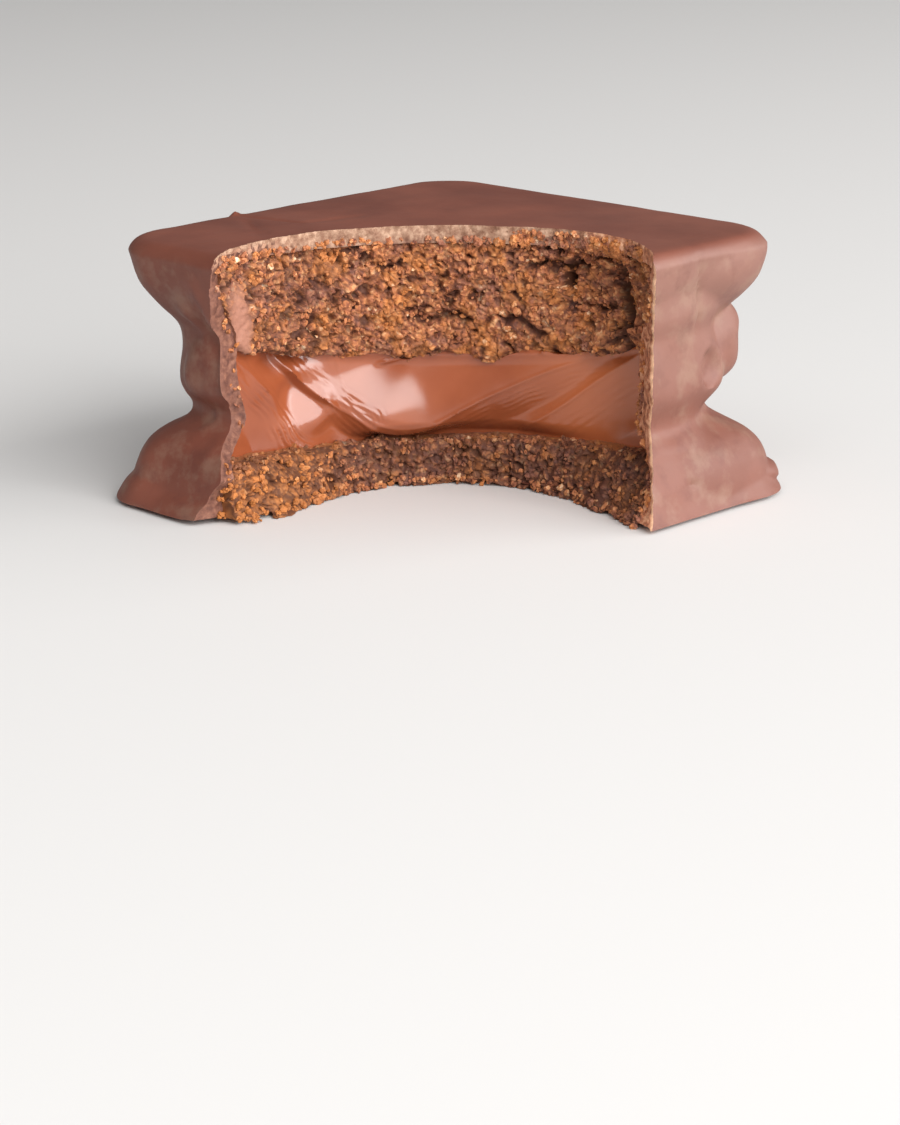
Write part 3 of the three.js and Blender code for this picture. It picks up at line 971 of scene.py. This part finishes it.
def worn(distance, reach, depth):
    """How far a crumbling edge falls back, from its distance to the edge."""
    return depth * (1 - unit(distance / reach)) ** 2


def build_biscuit(name, faces, cream_face, side, material):
    """One biscuit, broken off at the bite, with its grid. Side is 1 above the cream and -1 below it."""
    biscuit = BISCUITS[name]
    s, z = bite_grid(*biscuit["grid"])
    flat = bite_points(s, z, 0 * s)
    out, tone, painted_shade = crumb_relief(flat, biscuit["seed"])
    crack = crack_depth(s, z)
    smear = np.exp(-(oval(s, z, SMEAR) ** 2))
    within = side * (flat[..., 2] - cream_face(flat[..., 0], flat[..., 1]))
    inward = biscuit["recess"] - out * (1 - SMEAR["levels"] * smear) + crack
    inward = inward + hollow_depth(s, z) + worn(within, *biscuit["wear"]) + CHIP_IN_CRUMB * chip_depth(s, z)
    piece = bitten_layer(name, CRUMB_LAP, biscuit["base"], faces, (s, z, inward), material)
    # Painted shade along the bite and in cracks, added to that in pits.
    dark = np.interp(s, *zip(*biscuit["shade"]))
    painted_shade = unit(painted_shade + CRACK_SHADE * crack + dark)
    values = {"tone": (tone, 0.5), "painted_shade": (painted_shade, 0.5), "smear": (smear, 0)}
    carry(piece, bite_points(s, z, inward), values)
    return piece, (s, z, inward)


def build_upper(material):
    faces = (lambda x, y: upper_face(x, y) - LAP, lambda x, y: 0 * x + HEIGHT + 5)
    return build_biscuit("upper_crumb", faces, upper_face, 1, material)


def build_lower(material):
    faces = (skirt_low, lambda x, y: lower_face(x, y) + LAP)
    return build_biscuit("lower_crumb", faces, lower_face, -1, material)


# ---- The cream ----

def smooth_spots(points):
    """Points along the smooth curve through a few given ones, with its direction at each."""
    points = np.array(points, float)
    padded = np.concatenate([points[:1], points, points[-1:]])
    t = np.linspace(0, len(points) - 1, CREASE_STEPS)
    i = np.minimum(t.astype(int), len(points) - 2)
    w = (t - i)[:, None]
    a, b, c, d = (padded[i + k] for k in range(4))
    spots = 0.5 * (2 * b + (c - a) * w + (2 * a - 5 * b + 4 * c - d) * w**2 + (3 * b - a - 3 * c + d) * w**3)
    heading = np.gradient(spots, axis=0)
    return spots, heading / np.linalg.norm(heading, axis=1, keepdims=True)


def crease_fields(s, z):
    """For each crease: distance with its side as the sign, a softer distance that has no sudden turns
    away from the crest, and the place along it from 0 to 1, just as soft."""
    at = join(s, z)
    places = np.linspace(0, 1, CREASE_STEPS)
    for crease in CREASES:
        spots, heading = smooth_spots(crease["points"])
        share = np.mean(np.linalg.norm(np.diff(spots, axis=0), axis=1)) / (2 * CREASE_BLEND)
        nearest = np.full(s.shape, 1e9)
        index = np.zeros(s.shape, int)
        total = np.full(s.shape, 1e-30)
        weighted = np.zeros(s.shape)
        for i, spot in enumerate(spots):
            away = np.linalg.norm(at - spot, axis=-1)
            closer = away < nearest
            nearest = np.where(closer, away, nearest)
            index = np.where(closer, i, index)
            weight = np.exp(-away / CREASE_BLEND)
            total += weight
            weighted += weight * places[i]
        off = at - spots[index]
        side = heading[index, 0] * off[..., 1] - heading[index, 1] * off[..., 0]
        soft = np.maximum(0, -CREASE_BLEND * np.log(total * share))
        yield crease, np.copysign(nearest, side), soft, weighted / total


def at_place(values, t):
    """A value at a place along a crease, from its values at even steps."""
    return smooth_through(list(zip(np.linspace(0, 1, len(values)), values)), t)


def ends_taper(t):
    """1 along a crease and less at its two ends, without a kink."""
    fades = [np.exp(-((end / CREASE_END["share"]) ** 2)) for end in (t, 1 - t)]
    return 1 - CREASE_END["loses"] * (fades[0] + fades[1])


def strand_height(strands, away, wave, t):
    """Fine ridges that run along beside a crease, each a little uneven."""
    height, apart, start, stop = strands
    bend = away + waves(wave, STRAND_BENDS)
    middle = (start + stop) / 2
    spread = (stop - start) / 2
    shown = unit(STRAND_RISE["sides"] * (1 - np.abs(away - middle) / spread))
    shown = shown * unit(STRAND_RISE["ends"] * np.minimum(t, 1 - t))
    ridge = np.abs(np.sin(np.pi * bend / apart)) ** STRAND_RISE["power"] - STRAND_RISE["level"]
    return height * shown * ridge * (STRAND_EVEN + waves(wave, STRAND_LUMPS))


def cream_lips(s, z):
    """How far the cream turns out towards the biscuits' edges."""
    flat = bite_points(s, z, 0 * s)
    down = face_height(UPPER_FACE, flat[..., 0], flat[..., 1]) - z
    up = z - face_height(LOWER_FACE, flat[..., 0], flat[..., 1])
    upper = CREAM_LIPS["upper"] * unit(1 - down / CREAM_LIPS["upper_reach"]) ** 2
    lower = CREAM_LIPS["lower"] * unit(1 - up / CREAM_LIPS["lower_reach"]) ** 2
    return upper, lower


def cream_inward(s, z):
    """How far the cream lies behind the bite's plane: scoops between creases, eaten away low down."""
    upper_lip, lower_lip = cream_lips(s, z)
    wave = join(s, z, 0)
    total = np.zeros_like(s)
    fine = waves(wave, CREAM_WAVES)
    for tilt in CREAM_TILTS:
        slope = tilt["along"] * (s - tilt["s"]) - tilt["up"] * (z - tilt["z"])
        fine = fine + slope * np.exp(-(oval(s, z, tilt) ** 2))
    fine = fine - CREAM_PIT["depth"] * np.exp(-oval(s, z, CREAM_PIT))
    past = unit((s - CREAM_END["from"]) / (CREAM_END["to"] - CREAM_END["from"]))
    fine = fine - CREAM_END["depth"] * past ** CREAM_END["power"]
    for crease, away, soft, t in crease_fields(s, z):
        height = at_place(crease["height"], t)
        side = np.where(away > 0, at_place(crease["left"], t), at_place(crease["right"], t))
        taper = ends_taper(t)
        fall = np.maximum(0, 1 - soft / side) ** FLANK_POWER
        total += (height * taper * fall) ** SOFT_MAX
        fine = fine + CREST_LIP["height"] * taper * np.exp(-((away / CREST_LIP["width"]) ** 2))
        fine = fine + strand_height(crease["strands"], away, wave, t)
    fine = fine + strokes_rise(join(s, z), CREAM_STROKES)
    start, stop = UNDERCUT["ends"]
    ends = unit((s - UNDERCUT["from"]) / start) * unit((UNDERCUT["to"] - s) / stop)
    under = ends * unit((UNDERCUT["top"] - z) / UNDERCUT["fade"])
    lips = upper_lip + lower_lip * (1 - under)
    eaten = UNDERCUT["depth"] * under ** UNDERCUT["power"]
    return CREAM_RECESS - lips - total ** (1 / SOFT_MAX) - fine + eaten


def build_filling(material):
    s, z = bite_grid(*CREAM_GRID)
    grid = (s, z, cream_inward(s, z))
    faces = (lambda x, y: lower_face(x, y) - LAP, lambda x, y: upper_face(x, y) + LAP)
    return bitten_layer("cream", CREAM_LAP, COAT_BASE, faces, grid, material, CREAM_JUT), grid


# ---- Loose crumbs ----

def granule():
    """A small rough ball of 42 points, from which every crumb is shaped."""
    shape = bmesh.new()
    bmesh.ops.create_icosphere(shape, subdivisions=2, radius=1)
    points = np.array([vertex.co[:] for vertex in shape.verts])
    faces = np.array([[vertex.index for vertex in face.verts] for face in shape.faces])
    shape.free()
    return points, faces


def inward_at(surface, s, z):
    """How far a face with the given (s, z, inward) grid lies behind the bite's plane at some places."""
    all_s, all_z, inward = surface
    column = np.clip(np.searchsorted(all_s[0], s), 0, all_s.shape[1] - 1)
    row = np.clip(np.searchsorted(all_z[:, 0], z), 0, all_s.shape[0] - 1)
    return inward[row, column]


def bed_spots(layer, s_range, z_range, count, surfaces, rng):
    """Where the crumbs of one bed lie: only in the layer that they broke off."""
    s = rng.uniform(*s_range, count)
    z = rng.uniform(*z_range, count)
    if layer == "ledge":
        spots = bite_points(s, z, rng.uniform(*LEDGE, count))
        spots[:, 2] = lower_face(spots[:, 0], spots[:, 1]) + LEDGE_LIFT
    else:
        spots = bite_points(s, z, inward_at(surfaces[layer], s, z))
    x, y, z = spots.T
    out = np.hypot(x, y) - stack_half(z) * plan_reach(np.arctan2(y, x))
    kept = out < (CRUMBS_PAST["cream"] if layer == "cream" else 0)
    if layer == "coat":
        inside, top = -CRUMBS_ON_COAT["inside"], SHOULDER - CRUMBS_ON_COAT["top"]
        kept = (out < COAT - CRUMBS_ON_COAT["outside"]) & ((out > inside) | (z > top))
    if layer == "upper":
        kept &= (z > upper_face(x, y) - CRUMBS_PAST["upper"]) & (oval(s, z, SMEAR) > OFF_SMEAR)
    if layer == "lower":
        kept &= z < lower_face(x, y) + CRUMBS_PAST["lower"]
    return spots[kept]


def scatter_crumbs(name, surfaces, material):
    """Crumbs that cling to the broken faces, each a dented ball of its own size, turn and tone."""
    ball, faces = granule()
    rng = np.random.default_rng(CRUMB_SEED)
    points, tones, darks = [], [], []
    for *bed, dark in CRUMB_BEDS:
        for spot in bed_spots(*bed, surfaces, rng):
            size = rng.triangular(*CRUMB_SIZES) * rng.uniform(*CRUMB_STRETCH, 3)
            turn, _ = np.linalg.qr(rng.normal(size=(3, 3)))
            turn[0] *= np.sign(np.linalg.det(turn))
            dents = rng.normal(size=(len(ball), 1)).clip(-CRUMB_DENT_LIMIT, CRUMB_DENT_LIMIT)
            points.append((ball * (1 + CRUMB_DENTS * dents) * size) @ turn + spot)
            tones.append(np.full(len(ball), rng.beta(*CRUMB_TONE)))
            # Each crumb's painted shade, from its bed.
            darks.append(np.full(len(ball), dark * rng.uniform(*CRUMB_DARKER)))
    starts = np.arange(len(points))[:, None, None] * len(ball)
    all_faces = (faces[None] + starts).reshape(-1, 3).tolist()
    points = np.concatenate(points)
    points[:, 2] = np.maximum(points[:, 2], CRUMB_LOWEST)
    crumbs = make_piece(name, points, all_faces, material)
    for attribute, values in {"tone": tones, "painted_shade": darks}.items():
        give(crumbs, attribute, np.concatenate(values))
    return crumbs


# ---- Materials ----

def srgb(red, green, blue):
    """A colour given in the 0 to 255 steps of a screen, as the shader's linear one."""
    def linear(step):
        value = step / 255
        return value / 12.92 if value <= 0.04045 else ((value + 0.055) / 1.055) ** 2.4

    return linear(red), linear(green), linear(blue), 1


class Nodes:
    """A material's node tree, with short ways to add to it. Lengths are given in millimetres, and a
    colour as three steps of a screen."""

    def __init__(self, name):
        self.material = bpy.data.materials.new(name)
        self.material.use_nodes = True
        self.tree = self.material.node_tree
        self.shader = self.tree.nodes["Principled BSDF"]

    def add(self, kind, inputs=(), **settings):
        node = self.tree.nodes.new(kind)
        for key, value in settings.items():
            setattr(node, key, value)
        for key, value in dict(inputs).items():
            self.feed(node.inputs[key], value)
        return node

    def feed(self, socket, value):
        if isinstance(value, bpy.types.NodeSocket):
            self.tree.links.new(value, socket)
        else:
            socket.default_value = srgb(*value) if isinstance(value, tuple) else value

    def place(self):
        return self.add("ShaderNodeTexCoord").outputs["Object"]

    def across_and_height(self):
        """Place across the diagonal that the bite crosses, and height."""
        x, y, height = self.add("ShaderNodeSeparateXYZ", {"Vector": self.place()}).outputs
        return self.times(self.math("ADD", x, y), math.sqrt(0.5) / MM), self.times(height, 1 / MM)

    def noise(self, size, detail=3, roughness=0.5):
        """Noise that changes over a given size."""
        inputs = {"Vector": self.place(), "Scale": 1 / (size * MM), "Detail": detail, "Roughness": roughness}
        return self.add("ShaderNodeTexNoise", inputs).outputs["Fac"]

    def cells(self, size):
        """A number from 0 to 1 for each of many small grains."""
        grain = self.add("ShaderNodeTexVoronoi", {"Vector": self.place(), "Scale": 1 / (size * MM)})
        return self.add("ShaderNodeSeparateColor", {"Color": grain.outputs["Color"]}).outputs["Red"]

    def math(self, operation, a, b):
        return self.add("ShaderNodeMath", {0: a, 1: b}, operation=operation).outputs[0]

    def times(self, first, *others):
        for other in others:
            first = self.math("MULTIPLY", first, other)
        return first

    def attribute(self, name):
        return self.add("ShaderNodeAttribute", attribute_name=name).outputs["Fac"]

    def ramp(self, value, stops):
        node = self.add("ShaderNodeValToRGB", {"Fac": value})
        elements = node.color_ramp.elements
        while len(elements) < len(stops):
            elements.new(0.5)
        for element, (at, colour) in zip(elements, stops):
            element.position = at
            element.color = srgb(*colour)
        return node.outputs["Color"]

    def span(self, value, low, high, to_low=0.0, to_high=1.0):
        inputs = {"Value": value, "From Min": low, "From Max": high, "To Min": to_low, "To Max": to_high}
        return self.add("ShaderNodeMapRange", inputs).outputs["Result"]

    def mix(self, share, a, b):
        return self.add("ShaderNodeMix", {0: share, 6: a, 7: b}, data_type="RGBA").outputs[2]

    def bump(self, height, distance, strength=1.0):
        inputs = {"Height": height, "Distance": distance * MM, "Strength": strength}
        self.feed(self.shader.inputs["Normal"], self.add("ShaderNodeBump", inputs).outputs["Normal"])

    def set(self, **values):
        for key, value in values.items():
            self.feed(self.shader.inputs[key.replace("_", " ")], value)
        return self.material


def milk_chocolate():
    """Warm brown, mottled down the sides, with a painted sheen, paler and milkier, towards the lit corner.
    """
    nodes = Nodes("milk_chocolate")
    patches = nodes.span(nodes.noise(9, 4), 0.35, 0.65)
    colour = nodes.mix(patches, (108, 56, 41), (124, 68, 51))
    # Painted sheen: paler and milkier towards the lit corner, less so low down and on the top.
    across, height = nodes.across_and_height()
    wander = nodes.span(nodes.noise(8, 4), 0.3, 0.7, -5, 5)
    painted_sheen = nodes.span(nodes.math("ADD", across, wander), 9, 20)
    low_less = nodes.span(height, 10, 24, 0.3, 0.72)
    top_less = nodes.span(height, 28.8, 27.6, 0.15, 1.0)
    colour = nodes.mix(nodes.times(painted_sheen, low_less, top_less), colour, (131, 95, 83))
    side = nodes.span(height, 28.4, 26.8)
    pale = nodes.span(nodes.noise(3.4, 5, 0.6), 0.5, 0.66, 0.0, 0.42)
    colour = nodes.mix(nodes.times(side, pale), colour, (140, 110, 92))
    dark = nodes.span(nodes.noise(2.6, 4, 0.55), 0.54, 0.68, 0.0, 0.3)
    colour = nodes.mix(nodes.times(side, dark), colour, (92, 46, 38))
    nodes.set(Base_Color=colour, Roughness=nodes.span(nodes.noise(5, 5), 0.3, 0.7, 0.5, 0.62), IOR=1.5)
    nodes.bump(nodes.noise(0.5, 4), 0.03, 0.5)
    return nodes.material


# The tones of broken chocolate and of crumb, from dark to light, as (place on the ramp, colour).
PALE_TONES = [(0.34, (122, 83, 62)), (0.5, (152, 115, 92)), (0.66, (187, 151, 126))]
BROWN_TONES = [(0.34, (84, 47, 36)), (0.5, (112, 69, 54)), (0.7, (144, 97, 76))]
FLAKE_TONES = [(0.1, (84, 48, 36)), (0.5, (134, 88, 68)), (0.9, (180, 136, 110))]
# The near side's tones are lighter, partly painted light.
NEAR_TONES = [(0.34, (124, 72, 50)), (0.5, (200, 128, 92)), (0.66, (246, 188, 148))]
CRUMB_TONES = [
    (0.12, (90, 44, 28)),
    (0.3, (142, 82, 52)),
    (0.48, (174, 106, 68)),
    (0.64, (194, 124, 76)),
    (0.8, (216, 158, 110)),
    # The palest tone is sugar in the crumb, partly a painted glint.
    (0.92, (242, 212, 178)),
]


def broken_chocolate():
    """Pale where the top snapped clean and crumbly towards its ends, browner down the sides, with painted
    shade where the base broke under the cookie, lighter and flaky down the near side, partly painted light,
    and a painted highlight along the worn rim."""
    nodes = Nodes("broken_chocolate")
    across, height = nodes.across_and_height()
    grain = nodes.noise(0.8, 4, 0.6)
    crumbly = nodes.ramp(nodes.cells(0.5), FLAKE_TONES)
    spot = nodes.math("ADD", height, nodes.span(nodes.noise(1.6, 4), 0.3, 0.7, -0.6, 0.6))
    ends = nodes.math("MAXIMUM", nodes.span(across, 6, 13), nodes.span(across, -15, -20))
    below = nodes.times(ends, nodes.span(spot, 28.8, 28.4))
    colour = nodes.mix(below, nodes.ramp(grain, PALE_TONES), crumbly)
    colour = nodes.mix(nodes.span(spot, 26.6, 27.9), nodes.ramp(grain, BROWN_TONES), colour)
    # Painted shade: dark along the middle of the base, where the cookie sits and shade falls.
    middle = nodes.span(nodes.math("ABSOLUTE", across, 0.0), 17, 13)
    colour = nodes.mix(nodes.times(middle, nodes.span(spot, 2.2, 0.9)), colour, (84, 46, 34))
    # Lighter down the near side: flaky broken chocolate, partly painted light where that side lies in shade.
    near = nodes.span(across, 13, 17)
    colour = nodes.mix(nodes.times(near, 0.75), colour, nodes.ramp(grain, NEAR_TONES))
    # Painted highlight: a pale line along the worn rim, brightest on the near side and dimmer at the far
    # end.
    rim = nodes.times(nodes.span(nodes.attribute("rim"), 0.35, 0.85), 0.6)
    far_rim_highlight = nodes.mix(nodes.span(across, -16, -19), (190, 146, 122), (128, 84, 68))
    colour = nodes.mix(rim, colour, nodes.mix(near, far_rim_highlight, (255, 210, 170)))
    nodes.set(Base_Color=colour, Roughness=0.75)
    nodes.bump(nodes.noise(0.25, 4, 0.7), 0.08, 0.8)
    return nodes.material


def biscuit_crumb():
    """Grains from dark brown through golden to nearly white, in golden, plain and greyish stretches, with
    painted shade in pits, between grains, in cracks and where the crumb lies in shade.
    """
    nodes = Nodes("biscuit_crumb")
    tone = nodes.math("ADD", nodes.times(nodes.attribute("tone"), 0.6), nodes.times(nodes.cells(0.4), 0.4))
    greyish = nodes.span(nodes.noise(2.4, 3), 0.52, 0.64, 0.0, 0.6)
    colour = nodes.mix(greyish, nodes.ramp(tone, CRUMB_TONES), (128, 84, 74))
    golden = nodes.span(nodes.noise(3.4, 3), 0.5, 0.62, 0.0, 0.55)
    across, height = nodes.across_and_height()
    foot_end = nodes.times(nodes.span(height, 7, 4), nodes.span(across, -9, -16), 0.65)
    colour = nodes.mix(nodes.math("MAXIMUM", golden, foot_end), colour, (194, 120, 52))
    # Painted shade: darker in pits, between grains, in cracks and where the crumb lies in shade.
    dark = nodes.span(nodes.attribute("painted_shade"), 0.15, 0.95, 0.0, 0.85)
    colour = nodes.mix(dark, colour, (62, 28, 18))
    colour = nodes.mix(nodes.attribute("smear"), colour, (160, 110, 90))
    nodes.set(Base_Color=colour, Roughness=0.75)
    nodes.bump(nodes.noise(0.16, 3, 0.6), 0.05, 0.7)
    return nodes.material


def chocolate_cream():
    """Glossy brown, with painted light towards one end, where the cream lies in shade."""
    nodes = Nodes("chocolate_cream")
    patches = nodes.span(nodes.noise(6, 3), 0.3, 0.7)
    colour = nodes.mix(patches, (140, 71, 42), (156, 84, 53))
    across, _ = nodes.across_and_height()
    # Painted light: lighter towards the near end, where the cream is in shade.
    colour = nodes.mix(nodes.span(across, 7, 15), colour, (184, 102, 62))
    nodes.set(Base_Color=colour, Roughness=0.2, IOR=1.62)
    nodes.bump(nodes.noise(1.6, 3), 0.02, 0.2)
    return nodes.material


def pale_floor():
    nodes = Nodes("pale_floor")
    nodes.set(Base_Color=(222, 220, 218), Roughness=0.7)
    return nodes.material


# ---- Camera, floor and light ----

def make_camera():
    azimuth, pitch, yaw, roll = np.radians([CAMERA_AZIMUTH, CAMERA_PITCH, CAMERA_YAW, CAMERA_ROLL])
    away = Vector((math.sin(azimuth), -math.cos(azimuth), 0))
    aside = Vector((math.cos(azimuth), math.sin(azimuth), 0))
    up = Vector((0, 0, 1))
    level = aside * math.sin(yaw) - away * math.cos(yaw)
    right = level.cross(up)
    forward = level * math.cos(pitch) - up * math.sin(pitch)
    above = right.cross(forward)
    axes = [
        right * math.cos(roll) - above * math.sin(roll),
        right * math.sin(roll) + above * math.cos(roll),
        -forward,
    ]
    camera = new_object("camera", bpy.data.cameras.new("camera"))
    turned = Matrix(axes).transposed().to_4x4()
    place = away * CAMERA_DISTANCE + aside * CAMERA_ASIDE + up * CAMERA_HEIGHT
    camera.matrix_world = Matrix.Translation(place * MM) @ turned
    camera.data.lens = CAMERA_LENS
    camera.data.clip_start = 0.01
    bpy.context.scene.camera = camera


def make_floor():
    points = [(x * FLOOR_HALF, y * FLOOR_HALF, 0) for x, y in [(-1, -1), (1, -1), (1, 1), (-1, 1)]]
    mesh = bpy.data.meshes.new("floor")
    mesh.from_pydata(points, [], [(0, 1, 2, 3)])
    mesh.materials.append(pale_floor())
    floor = new_object("floor", mesh)
    floor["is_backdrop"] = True


def make_light(name, around, elevation, distance, size, power):
    """A soft light, placed round the cookie by degrees to the right of the camera's side."""
    turn = math.radians(CAMERA_AZIMUTH + around)
    rise = math.radians(elevation)
    aim = Vector((0, 0, LIGHTS_AIM * MM))
    back = Vector((math.sin(turn) * math.cos(rise), -math.cos(turn) * math.cos(rise), math.sin(rise)))
    light = bpy.data.lights.new(name, "AREA")
    light.shape = "RECTANGLE"
    light.size, light.size_y = size
    light.energy = power
    lamp = new_object(name, light)
    lamp.location = aim + back * distance
    lamp.rotation_euler = back.to_track_quat("Z", "Y").to_euler()


def make_world():
    world = bpy.data.worlds.new("studio")
    world.use_nodes = True
    background = world.node_tree.nodes["Background"]
    background.inputs["Color"].default_value = (1, 1, 1, 1)
    background.inputs["Strength"].default_value = WORLD_STRENGTH
    bpy.context.scene.world = world


# ---- The scene ----

def shade_smooth(piece, angle):
    """Smooth shading, but for the edges between faces that turn by more than an angle."""
    mesh = piece.data
    mesh.polygons.foreach_set("use_smooth", [True] * len(mesh.polygons))
    mesh.set_sharp_from_angle(angle=math.radians(angle))


def place(piece, node, smooth_angle):
    """A piece that stands for a node of the frame, with its body."""
    shade_smooth(piece, smooth_angle)
    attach(piece, "root")
    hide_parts(node)


def build():
    crumb = biscuit_crumb()
    surfaces = {}
    coating, surfaces["coat"] = build_coating(milk_chocolate(), broken_chocolate())
    upper, surfaces["upper"] = build_upper(crumb)
    filling, surfaces["cream"] = build_filling(chocolate_cream())
    lower, surfaces["lower"] = build_lower(crumb)
    place(coating, "coating", COATING_SHARP)
    place(upper, "upper_biscuit", LAYER_SHARP)
    place(filling, "filling", LAYER_SHARP)
    place(lower, "lower_biscuit", LAYER_SHARP)
    crumbs = scatter_crumbs("loose_crumbs", surfaces, crumb)
    shade_smooth(crumbs, CRUMB_SHARP)
    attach(crumbs, "root")


make_camera()
make_floor()
for light in LIGHTS:
    make_light(*light)
make_world()
bpy.context.scene.view_settings.view_transform = "Standard"
build()

boxes = {"cad": cad_box, "visual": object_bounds()}
{name: [list(corner) for corner in box] for name, box in boxes.items()}
